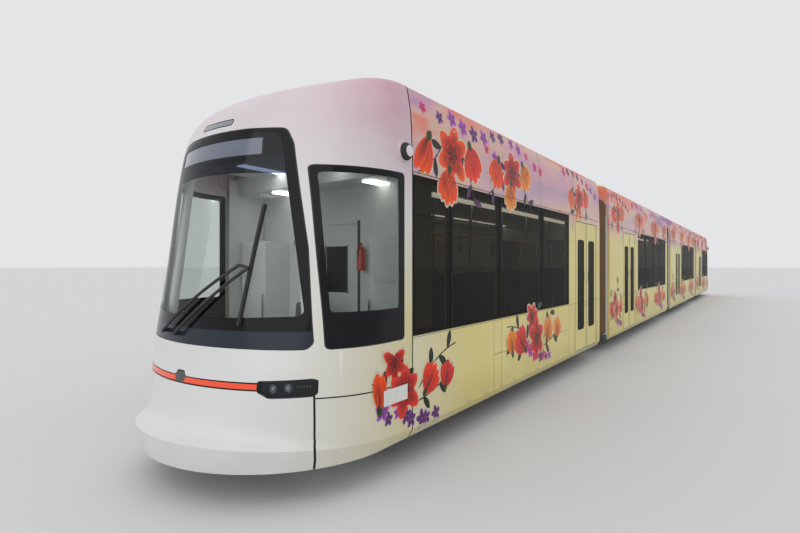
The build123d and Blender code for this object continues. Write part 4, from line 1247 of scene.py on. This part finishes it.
def gangway(number, hinge):
    """Pleated cloth around the passage, in two colours, with end frames."""
    start, end = about(hinge, END)
    piece = Piece(f"gangway_{number}_pleats")
    steps = [((k + share) / PLEATS, depth) for k in range(PLEATS) for share, depth in PLEAT]
    steps.append((1.0, PLEAT[0][1]))

    def cloth(arch, share, depth, sides_from, roof_from):
        """One ring of the cloth, drawn in by a depth at its sides and its roof."""
        x = start + 0.004 + (end - start - 0.008) * share
        moves = [(math.copysign(1, y) * (abs(y) > sides_from), z > roof_from) for y, z in arch]
        points = [(x, y - depth * inward, z - depth * down) for (y, z), (inward, down) in zip(arch, moves)]
        return [piece.bm.verts.new(p) for p in points]

    arch = passage(0, 0.16)
    outer = [cloth(arch, share, depth, CLOTH_HALF - 0.17, CLOTH_HIGH - 0.17) for share, depth in steps]
    arch = passage(CLOTH_WALL, 0.1)
    lining = []
    for k in range(21):
        ripple = 0.008 * (1 - math.cos(k * math.pi)) / 2
        lining.append(cloth(arch, k / 20, -ripple, CLOTH_HALF - CLOTH_WALL - 0.02, math.inf))
    faces = skin(piece.bm, outer, closed=False)
    across = len(outer[0]) - 1
    for place, face in enumerate(faces):
        ridge = place // across % len(PLEAT) in (2, 3)
        face.material_index = piece.use("bellows_ridge" if ridge else "bellows")
    faces += skin(piece.bm, lining, closed=False, flip=True)
    bmesh.ops.recalc_face_normals(piece.bm, faces=faces)
    made = piece.shown()
    # Sections are numbered from the front, so the later one lies at the lower X
    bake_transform(made)
    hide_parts(f"gangway_{number}_bellows")
    for x, way, target in ((start, -1, number + 1), (end, 1, number)):
        rim = Piece(f"gangway_{number}_rim_{target}")
        plate = (x + way * 0.002, x + way * 0.022)
        upright = (CLOTH_HALF - 0.12, CLOTH_HALF + 0.005)
        for _ in rim.sides():
            rim.box(plate, upright, (CLOTH_LOW, CLOTH_HIGH - 0.16), "trim", 0.004)
            rim.box(plate, (0.72, CLOTH_HALF - 0.1), (RAIL + 2.35, RAIL + 2.42), "trim", 0.004)
            z = CLOTH_LOW + 0.12
            while z < CLOTH_HIGH - 0.2:
                rim.lathe(RIM_BOLT, (x + way * 0.001, CLOTH_HALF - 0.02, z), (-way, 0, 0), "alloy", 12)
                z += 0.22
        rim.box(plate, about(0, CLOTH_HALF - 0.1), (CLOTH_HIGH - 0.12, CLOTH_HIGH), "trim", 0.004)
        rim.done(f"section_{target}", "bellows_rubber")


for number, hinge in enumerate((PITCH, 0.0, -PITCH), 1):
    gangway(number, hinge)


# Running gear

AXLE = 0.3  # height over the rail
GAUGE_HALF = 1.365 / 2
WHEEL_FACE = GAUGE_HALF + 0.115
HUB_CAP = [(-0.045, 0.09), (0.001, 0.09), (0.006, 0.084), (0.006, 0.05)]
TYRE_GROOVE = [(-0.058, 0.238), (-0.052, 0.242), (-0.052, 0.2425), (-0.058, 0.2425)]
# Bolts on the wheel: form, distance from the axle, distance from the middle, angle of the first
WHEEL_BOLTS = [
    ([(0, 0.009), (0.008, 0.009), (0.010, 0.007), (0.0101, 0)], 0.072, WHEEL_FACE + 0.004, 0),
    ([(0, 0.020), (0.012, 0.020), (0.014, 0.016), (0.0141, 0)], 0.17, GAUGE_HALF + 0.0575 + 0.013, 0.2),
]
BOX_COVER = [(-0.002, 0.085), (0.020, 0.085), (0.028, 0.078), (0.028, 0.04), (0.036, 0.034), (0.037, 0)]
SPRING_RING = [(-0.012, 0.098), (-0.010, 0.106), (0.010, 0.106), (0.012, 0.098)]


def wheel_trim(number, end, x):
    """Bolts, hub caps and tyre grooves, turning with the wheels."""
    piece = Piece(f"bogie_{number}_{end}_wheel_trim", (x, 0, RAIL + AXLE))
    for _ in piece.sides():
        piece.lathe(HUB_CAP, (0, WHEEL_FACE, 0), OUTWARD, "alloy", 40)
        for k in range(8):
            for profile, away, y, first in WHEEL_BOLTS:
                angle = k * math.pi / 4 + first
                spot = (away * math.cos(angle), y, away * math.sin(angle))
                piece.lathe(profile, spot, OUTWARD, "steel", 6)
        piece.lathe(TYRE_GROOVE, (0, WHEEL_FACE, 0), OUTWARD, "rubber", 64)
    piece.done(f"wheelset_{number}_{end}", "wheel_steel")


def bogie_trim(number, x):
    """Axle-box covers, spring rings, dampers, cables, sand pipes and brake shoes."""
    piece = Piece(f"bogie_{number}_fittings", (x, 0, RAIL))
    for _ in piece.sides():
        for place in (-0.9, 0.9):
            piece.lathe(BOX_COVER, (place, 1.012, AXLE), OUTWARD, "bogie", 32)
            for k in range(6):
                angle = k * math.pi / 3
                spot = (place + 0.07 * math.cos(angle), 1.034, AXLE + 0.07 * math.sin(angle))
                piece.lathe([(0, 0.010), (0.008, 0.010), (0.0085, 0)], spot, OUTWARD, "steel", 6)
            piece.box(about(place, 0.08), (0.90, 0.98), (0.395, 0.425), "rubber", 0.006)
        for place in (-0.26, 0.26):
            for k in range(5):
                piece.lathe(SPRING_RING, (place, 0.94, 0.385 + k * 0.052), UP, "rubber", 36)
        piece.tube([(-0.45, 1.0, 0.28), (-0.2, 1.0, 0.5)], 0.03, "alloy", 16)
        piece.tube([(-0.33, 1.0, 0.39), (-0.2, 1.0, 0.5)], 0.036, "trim", 16)
        for k in range(7):
            start = -0.46 + k * 0.15
            piece.box((start, start + 0.06), (0.684, 0.751), (0.034, 0.046), "steel", 0.003)
        for k in range(11):
            start = -0.5 + k * 0.098
            piece.box((start, start + 0.022), (0.88, 1.008), (0.155, 0.24), "bogie", 0.004)
        cable = [(-0.85, 0.86, 0.36), (-0.4, 0.865, 0.375), (0.4, 0.865, 0.36), (0.85, 0.86, 0.36)]
        piece.tube(cable, 0.012, "rubber")
        for place in (-1.28, 1.28):
            pipe = [(place, 0.74, 0.262), (place * 0.99, 0.74, 0.15), (place * 0.965, 0.74, 0.07)]
            piece.tube(pipe, 0.018, "rubber")
            piece.box(about(place, 0.03), (0.70, 0.78), (0.235, 0.272), "bogie", 0.004)
    piece.done(f"section_{number}", "bogie_paint")


for number, (_, _, middle) in SECTIONS.items():
    bogie_trim(number, middle)
    for end, place in (("front", 0.9), ("rear", -0.9)):
        wheel_trim(number, end, middle + place)


# Inside and below

HAND_RAIL = 2.25  # its height over the rail head
STRAP_EVERY = 1.05
RIBS_EVERY = 0.22


def seats_trim(piece, x, facing):
    """Cushions and the grab handle of one double seat."""
    back = x - facing * 0.21
    lean = Matrix.Translation((back - facing * 0.006, 0, 1.16)) @ Matrix.Rotation(-facing * 0.083, 4, "Y")
    for y in (0.645, 0.945):
        across = (y, y + 0.27)
        piece.box((back + facing * 0.02, x + facing * 0.20), across, (1.137, 1.156), "seat_cloth", 0.012)
        piece.box((-0.008, 0.012), across, (0.02, 0.53), "seat_cloth", 0.006, lean)
    handle = [(0.68, 1.72), (0.68, 1.80), (0.9, 1.80), (0.9, 1.72)]
    piece.tube([(back - facing * 0.085, y, z) for y, z in handle], 0.012, "yellow")


def saloon(number):
    """Seats' cushions and handles, hand rails with straps, ceiling lights and floor covers."""
    rear, front, middle = SECTIONS[number]
    piece = Piece(f"section_{number}_saloon_trim", (0, 0, RAIL))
    for _ in piece.sides():
        for place, facing in ((-0.93, 1), (-0.33, -1), (0.33, 1), (0.93, -1)):
            seats_trim(piece, middle + place, facing)
        y = 0.5
        piece.tube([(rear + 0.55, y, HAND_RAIL), (front - 0.55, y, HAND_RAIL)], 0.016, "yellow")
        x = rear + (1.1 if number == 4 else 0.7)
        while x < front - (1.2 if number == 1 else 0.5):
            piece.tube([(x, y, HAND_RAIL), (x, y, 2.70)], 0.011, "chrome")
            strap = x + 0.35
            piece.tube([(strap, y, HAND_RAIL - 0.005), (strap, y, 2.12)], 0.006, "trim", 8)
            turns = [2 * math.pi * q / 14 for q in range(15)]
            loop = [(strap + 0.05 * math.cos(t), y, 2.07 + 0.05 * math.sin(t)) for t in turns]
            piece.tube(loop, 0.009, "trim", 8)
            x += STRAP_EVERY
        piece.box((rear + 0.12, front - 0.12), (0.62, 0.76), (2.676, 2.7), "light_cover", 0.008)
        piece.box((rear + 0.1, front - 0.1), (0.95, 1.262), (2.668, 2.70), "pale", 0.01)
    low = rear + (0.47 if number == 4 else 0.09)
    high = front - (0.47 if number == 1 else 0.09)
    floors = [(low, middle - 1.9, 0.36), (*about(middle, 1.28), 0.44), (middle + 1.9, high, 0.36)]
    for start, end, z in floors:
        if end - start > 0.2:
            piece.box((start, end), (-0.58, 0.58), (z - 0.001, z + 0.004), "floor_cover", 0.001)
    piece.done(f"section_{number}", "seat_plastic")


def underfloor(number):
    """Ribbed boxes and pipes below the floor, before and behind the bogie."""
    rear, front, middle = SECTIONS[number]
    piece = Piece(f"section_{number}_underfloor", (0, 0, RAIL + 0.27))
    for low, high in ((rear + 0.62, middle - 1.45), (middle + 1.45, front - 0.62)):
        if high - low < 0.5:
            continue
        for _ in piece.sides():
            piece.box((low, high), (0.35, 1.05), (-0.075, 0.001), "frame", 0.012)
            x = low + 0.08
            while x < high - 0.06:
                piece.box((x, x + 0.03), (0.36, 1.04), (-0.083, -0.072), "bogie", 0.003)
                x += RIBS_EVERY
            piece.tube([(low - 0.1, 1.12, -0.03), (high + 0.1, 1.12, -0.03)], 0.016, "rubber")
        piece.tube([(low - 0.05, 0.1, -0.03), (high + 0.05, 0.1, -0.03)], 0.02, "alloy")
    piece.done(f"section_{number}", "frame_paint")


for number in SECTIONS:
    saloon(number)
for number in SECTIONS:
    underfloor(number)


# Generic flowers on the livery

PETALS = [(0.88, 0.12, 0.03), (0.92, 0.18, 0.035), (0.84, 0.07, 0.03), (0.78, 0.05, 0.06), (0.94, 0.26, 0.05)]
LEAVES = [(0.07, 0.12, 0.07), (0.12, 0.20, 0.07)]
ACCENTS = [(0.20, 0.06, 0.26), (0.34, 0.12, 0.38), (0.50, 0.06, 0.26)]
PALE = (0.84, 0.79, 0.68)
STEM, HIGH_STEM = (0.10, 0.13, 0.07), (0.16, 0.09, 0.12)
STAMEN = (0.12, 0.02, 0.04)
ANTHER = ((0.55, 0.35, 0.05), (0.7, 0.5, 0.1))
STAR_HEART = (0.75, 0.6, 0.2)
OUTLINE = 0.021  # how far the pale edge of a petal reaches beyond it
# Low and high groups on each kind of side: distance from the end that it is counted from, height, size
LOW_GROUPS = {
    "door_at_gangway": [(6.72, 0.72, 0.26), (3.45, 0.80, 0.31)],
    "door_inboard": [(6.72, 0.72, 0.26), (4.1, 0.78, 0.31), (0.64, 0.9, 0.24)],
    "middle": [(0.64, 0.86, 0.25), (3.6, 0.78, 0.29), (6.6, 0.80, 0.30)],
}
HIGH_GROUPS = {
    "door_at_gangway": [(5.85, 2.98, 0.33), (4.3, 3.02, 0.30), (1.35, 3.02, 0.28)],
    "door_inboard": [(5.75, 2.98, 0.32), (3.4, 3.02, 0.28), (0.95, 2.98, 0.27)],
    "middle": [(0.85, 3.0, 0.28), (3.3, 3.02, 0.26), (5.8, 2.98, 0.31), (7.55, 3.0, 0.2)],
}
WALL_OUTLINE = [(HALF - 0.045, RAIL + 0.26), (HALF, RAIL + 0.34), (HALF, WALL_TOP)] + FAIRING


def wall_point(x, z, side, lift_by):
    """A place on a bodyside, its fairing or the nose's flank, a little proud of it."""
    if abs(x) > SEAM + 0.3:
        return (x, side * (side_y(abs(x), z) + lift_by + 0.0008), z)
    for (y0, z0), (y1, z1) in pairs(WALL_OUTLINE):
        if z <= z1 or (y1, z1) == WALL_OUTLINE[-1]:
            share = min(1, max(0, (z - z0) / (z1 - z0)))
            away = Vector((0, z1 - z0, y0 - y1)).normalized() * lift_by
            return (x, side * (y0 + (y1 - y0) * share + away.y), z + away.z)


def onward(x, z, angle, length, aside=0.0):
    """The place at a length along a heading, and some way to its left."""
    along, up = math.cos(angle), math.sin(angle)
    return (x + length * along - aside * up, z + length * up + aside * along)


def arc(x, z, angle, length, bend, count):
    """Points along a bending line, each with its heading."""
    points = []
    for _ in range(count):
        points.append((x, z, angle))
        x, z = onward(x, z, angle, length / count)
        angle += bend / count
    return points


def brighter(colour, gains, lifts):
    return tuple(min(1, c * gain + more) for c, gain, more in zip(colour, gains, lifts))


class Mural:
    """Thin painted shapes on one side of one section."""

    def __init__(self, number, side):
        self.piece = Piece(f"section_{number}_{'left' if side > 0 else 'right'}_flowers")
        self.piece.use("petals")
        self.number, self.side = number, side
        self.tint = self.piece.bm.loops.layers.color.new("tint")
        self.shapes = []
        rear, front, _ = SECTIONS[number]
        self.limits = (rear + 0.03, front - 0.015)
        self.kind, start, way = SIDES[number if side > 0 else 5 - number]
        self.start, self.way = start * side, way * side
        low, high = sorted(self.along(a) for a in DOORS[self.kind])
        panes = PANES[self.kind]
        first, last = sorted((self.along(panes[0]), self.along(panes[-1])))
        doorway = (low - 0.012, high + 0.012, 0, RAIL + 2.62)
        self.holes = [doorway, (first + 0.1, last - 0.1, BAND[0] + 0.22, BAND[1] - 0.3)]

    def along(self, distance):
        return self.start + self.way * distance

    def petal(self, x, z, angle, length, width, inner, outer, bend=0.0, level=1, steps=16):
        """Notes a petal or leaf from its base, with a pointed tip; level sets what lies over what."""
        rim = []
        for k in range(steps):
            t = 2 * math.pi * k / steps
            share = 0.5 - 0.5 * math.cos(t)
            swell = math.copysign(abs(math.sin(t)) ** (0.75 + 0.35 * share), math.sin(t)) * width
            swell *= 0.35 + 0.65 * math.sin(math.pi * min(1, share * 0.62 + 0.1))
            rim.append(onward(x, z, angle, length * share, swell + bend * share**2))
        self.shapes.append((level, rim, onward(x, z, angle, length * 0.12), inner, outer))

    def outlined(self, x, z, angle, length, width, inner, outer, bend):
        """A petal over a slightly larger pale one."""
        start = onward(x, z, angle, -OUTLINE)
        size = (length + 2.2 * OUTLINE, width + OUTLINE)
        self.petal(*start, angle, *size, PALE, PALE, bend, level=0, steps=14)
        self.petal(x, z, angle, length, width, inner, outer, bend)

    def blossom(self, x, z, size, colour, turn):
        """Six broad petals, shorter ones between them, and a crown of fine stamens."""
        deep = scaled(colour, 0.42)
        bright = brighter(colour, (1.1, 2.0, 1.6), (0.08, 0.10, 0.03))
        for k in range(6):
            angle = turn + k * math.pi / 3 + rng.uniform(-0.12, 0.12)
            length = size * rng.uniform(0.86, 1.08)
            self.outlined(x, z, angle, length, size * 0.29, deep, bright, rng.uniform(-0.12, 0.12) * size)
        for k in range(6):
            angle = turn + (k + 0.5) * math.pi / 3
            self.petal(x, z, angle, size * 0.6, size * 0.16, scaled(deep, 0.7), colour, level=2)
        for k in range(9):
            angle = turn + k * 0.7
            self.petal(x, z, angle, size * 0.34, size * 0.016, STAMEN, STAMEN, level=3, steps=8)
            tip = onward(x - size * 0.03, z, angle, size * 0.35)
            self.petal(*tip, 0, size * 0.06, size * 0.03, *ANTHER, level=4, steps=8)

    def bell(self, x, z, angle, size, colour):
        """A half-open flower seen from the side: a fan of petals on a green cup."""
        deep = scaled(colour, 0.5)
        bright = brighter(colour, (1.1, 1.9, 1.3), (0.06, 0.09, 0.02))
        for spread in (-0.62, 0.62, -0.32, 0.32, 0.0):
            length = size * (1 - 0.18 * abs(spread))
            self.outlined(x, z, angle + spread, length, size * 0.2, deep, bright, -spread * 0.12 * size)
        cup = onward(x, z, angle, size * 0.14)
        greens = (0.10, 0.16, 0.05), (0.22, 0.30, 0.09)
        self.petal(*cup, angle + math.pi, size * 0.3, size * 0.11, *greens, level=2)

    def twig(self, x, z, angle, length, bend, colour, leaf):
        """A bending stem with leaves in turn."""
        for number, (px, pz, heading) in enumerate(arc(x, z, angle, length, bend, 9)):
            if self.blocked([onward(px, pz, heading, 0.05 + length * 0.1)]):
                break
            start = onward(px, pz, heading, -0.012)
            self.petal(*start, heading, length / 9 + 0.03, 0.009, colour, colour, level=0.5, steps=8)
            if number % 2:
                sign = 1 if number % 4 == 1 else -1
                turned, size = heading + sign * 0.9, (length * 0.24, length * 0.055)
                self.petal(px, pz, turned, *size, scaled(leaf, 0.5), leaf, sign * 0.02, level=0.7)

    def garland(self, x, z, angle, length, bend):
        """Small lilac and magenta stars along a line."""
        for px, pz, heading in arc(x, z, angle, length, bend, 8):
            colour = rng.choice(ACCENTS)
            pale = brighter(colour, [1.8] * 3, [0.12] * 3)
            size = rng.uniform(0.06, 0.105)
            spot = (px + rng.uniform(-0.03, 0.03), pz + rng.uniform(-0.035, 0.035))
            for k in range(5):
                self.petal(*spot, heading + k * 1.2566, size, size * 0.32, colour, pale, level=0.8, steps=10)
            self.petal(spot[0] - 0.008, spot[1], 0, 0.016, 0.008, STAR_HEART, STAR_HEART, level=0.9, steps=8)

    def bells(self, x, z, size, rows):
        """Bells about a blossom: shift in sizes, rise, least and greatest angle, size."""
        for shift, rise, least, greatest, share in rows:
            angle = rng.uniform(least, greatest)
            self.bell(x + size * shift, z + rise, angle, size * share, rng.choice(PETALS))

    def low_group(self, x, z, size, colour):
        """A wide bunch beside a door."""
        for k in range(3):
            bend = rng.uniform(-0.9, 0.9)
            place = (x + (k - 1) * size * 0.9, z - 0.02)
            self.twig(*place, (2.4, 1.5, 0.7)[k], 0.62 + size * 0.6, bend, STEM, rng.choice(LEAVES))
        for way in (1, -1):
            angle = 0.15 if way > 0 else math.pi - 0.15
            self.twig(x + way * size * 0.9, z - 0.14, angle, size * 2.6, way * 0.35, STEM, rng.choice(LEAVES))
            drop = rng.uniform(0.06, 0.14)
            angle = math.pi / 2 - way * rng.uniform(0.1, 0.5)
            self.bell(x + way * size * 2.75, z - drop, angle, size * 1.05, rng.choice(PETALS))
        self.blossom(x, z, size, colour, rng.uniform(0, 1))
        self.bells(x, z, size, [(1.4, -0.1, 0.6, 1.2, 1.3), (-1.3, -0.08, 1.8, 2.5, 1.2)])
        self.garland(x - 0.5, z - 0.33, 0.1, 1.0, 0.4)
        self.blossom(x + size * 0.6, z + size * 1.02, size * 0.66, rng.choice(PETALS), rng.uniform(0, 1))

    def high_group(self, x, z, size, colour):
        """A hanging bunch along the roof's edge."""
        for k in range(2):
            bend = rng.uniform(-0.8, 0.8)
            leaf = rng.choice(LEAVES + ACCENTS)
            self.twig(x + (k - 0.5) * size, z + 0.1, (-2.3, -0.9)[k], 0.45 + size, bend, HIGH_STEM, leaf)
        self.garland(x - 1.05, z + 0.16, 0.32, 2.1, -0.62)
        self.blossom(x, z, size, colour, rng.uniform(0, 1))
        rows = [(1.35, 0.1, -1.5, -0.8, 1.3), (-1.2, 0.16, -2.3, -1.7, 1.25)]
        rows.append((0.2, -size * 0.5, -1.9, -1.3, 1.15))
        self.bells(x, z, size, rows)

    def blocked(self, rim):
        """Whether a shape would leave the section's side or cover a doorway or the panes."""
        low, high = self.limits
        for x, z in rim:
            reach = 0.62 if z < RAIL + 1.14 else -0.015
            if self.number == 1:
                high = SEAM + reach
            if self.number == 4:
                low = -SEAM - reach
            if not low < x < high or not RAIL + 0.275 < z < TOP - 0.02:
                return True
            if any(a < x < b and c < z < d for a, b, c, d in self.holes):
                return True
        return False

    def done(self):
        bm = self.piece.bm
        self.shapes.sort(key=lambda row: row[0])
        for number, (_, rim, back, inner, outer) in enumerate(self.shapes):
            if self.blocked(rim):
                continue
            layer = 0.0006 + 0.0000035 * number  # each shape a little prouder than the one before

            def spot(x, z):
                return bm.verts.new(wall_point(x, z, self.side, layer))

            hub = spot(*back)
            half = [spot((x + back[0]) / 2, (z + back[1]) / 2) for x, z in rim]
            edge = [spot(x, z) for x, z in rim]
            between = tuple(a * 0.55 + b * 0.45 for a, b in zip(inner, outer))
            colours = {hub: inner, **dict.fromkeys(half, between), **dict.fromkeys(edge, outer)}
            for i in range(len(rim)):
                j = (i + 1) % len(rim)
                for corners in ((hub, half[i], half[j]), (half[i], edge[i], edge[j], half[j])):
                    for loop in bm.faces.new(corners).loops:
                        loop[self.tint] = (*colours[loop.vert], 1)
        bm.normal_update()
        for face in bm.faces:
            if face.normal.y * self.side < 0:
                face.normal_flip()
        self.piece.done(f"section_{self.number}", "body_paint", smooth=0)


for number in SECTIONS:
    for side in BOTH_SIDES:
        work = Mural(number, side)
        for groups, draw in ((LOW_GROUPS, work.low_group), (HIGH_GROUPS, work.high_group)):
            for place, height, size in groups[work.kind]:
                draw(work.along(place), RAIL + height, size, rng.choice(PETALS))
        work.done()


# CAD nodes' own materials

NODE_LOOKS = {
    "side_walls": "livery",
    "roof": "livery",
    "roof_gear": "gear",
    "windows": "dark_glass",
    "doors": "door",
    "end_frames": "pale",
    "underframe": "frame",
    "seats_and_poles": "seat",
    "frame": "bogie",
    "wheelset": "steel",
    "towing_eye": "bogie",
    "wiper": "rubber",
}
for name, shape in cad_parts.items():
    look = next((value for key, value in NODE_LOOKS.items() if name.endswith(key)), None)
    if look:
        shape.data.materials.clear()
        shape.data.materials.append(M[look])


# Studio

scene = bpy.context.scene
floor = Piece("studio_floor")
bmesh.ops.create_grid(floor.bm, x_segments=2, y_segments=2, size=400)
floor.use("floor")
floor.shown()

world = bpy.data.worlds.new("studio_world")
scene.world = world
world.use_nodes = True
tree = world.node_tree
shine = tree.nodes["Background"]
# Brighter overhead than at the horizon; the camera, metal and glass see an even pale grey
way_up = node(tree, "SeparateXYZ", {0: node(tree, "TexCoord").outputs["Generated"]}).outputs["Z"]
heights = {"Value": way_up, "From Min": -0.1, "From Max": 0.9, "To Min": 0.47, "To Max": 1.0}
sky = node(tree, "MapRange", heights).outputs[0]
ray = node(tree, "LightPath").outputs
seen = ray["Is Camera Ray"]
for kind in ("Is Glossy Ray", "Is Transmission Ray"):
    seen = node(tree, "Math", {0: seen, 1: ray[kind]}, operation="MAXIMUM").outputs[0]
feed(tree, shine.inputs[0], (0.97, 0.98, 1.0, 1))
feed(tree, shine.inputs[1], node(tree, "Mix", {0: seen, 2: sky, 3: 0.80}).outputs[0])

sun = bpy.data.objects.new("soft_sun", bpy.data.lights.new("soft_sun", "SUN"))
sun.data.energy = 0.85
sun.data.angle = math.radians(70)
sun.rotation_euler = Vector((-0.84, -0.22, -0.5)).to_track_quat("-Z", "Y").to_euler()
scene.collection.objects.link(sun)

camera = bpy.data.objects.new("camera", bpy.data.cameras.new("camera"))
camera.data.lens = 22.5
camera.data.sensor_width = 36
camera.data.shift_y = -0.0019
camera.data.clip_end = 400
aim = math.radians(35.68)  # from the tram's length
camera.location = (19.78, 3.897, 1.868)
camera.rotation_euler = Vector((-math.cos(aim), -math.sin(aim), 0)).to_track_quat("-Z", "Y").to_euler()
scene.collection.objects.link(camera)
scene.camera = camera
scene.view_settings.view_transform = "Standard"
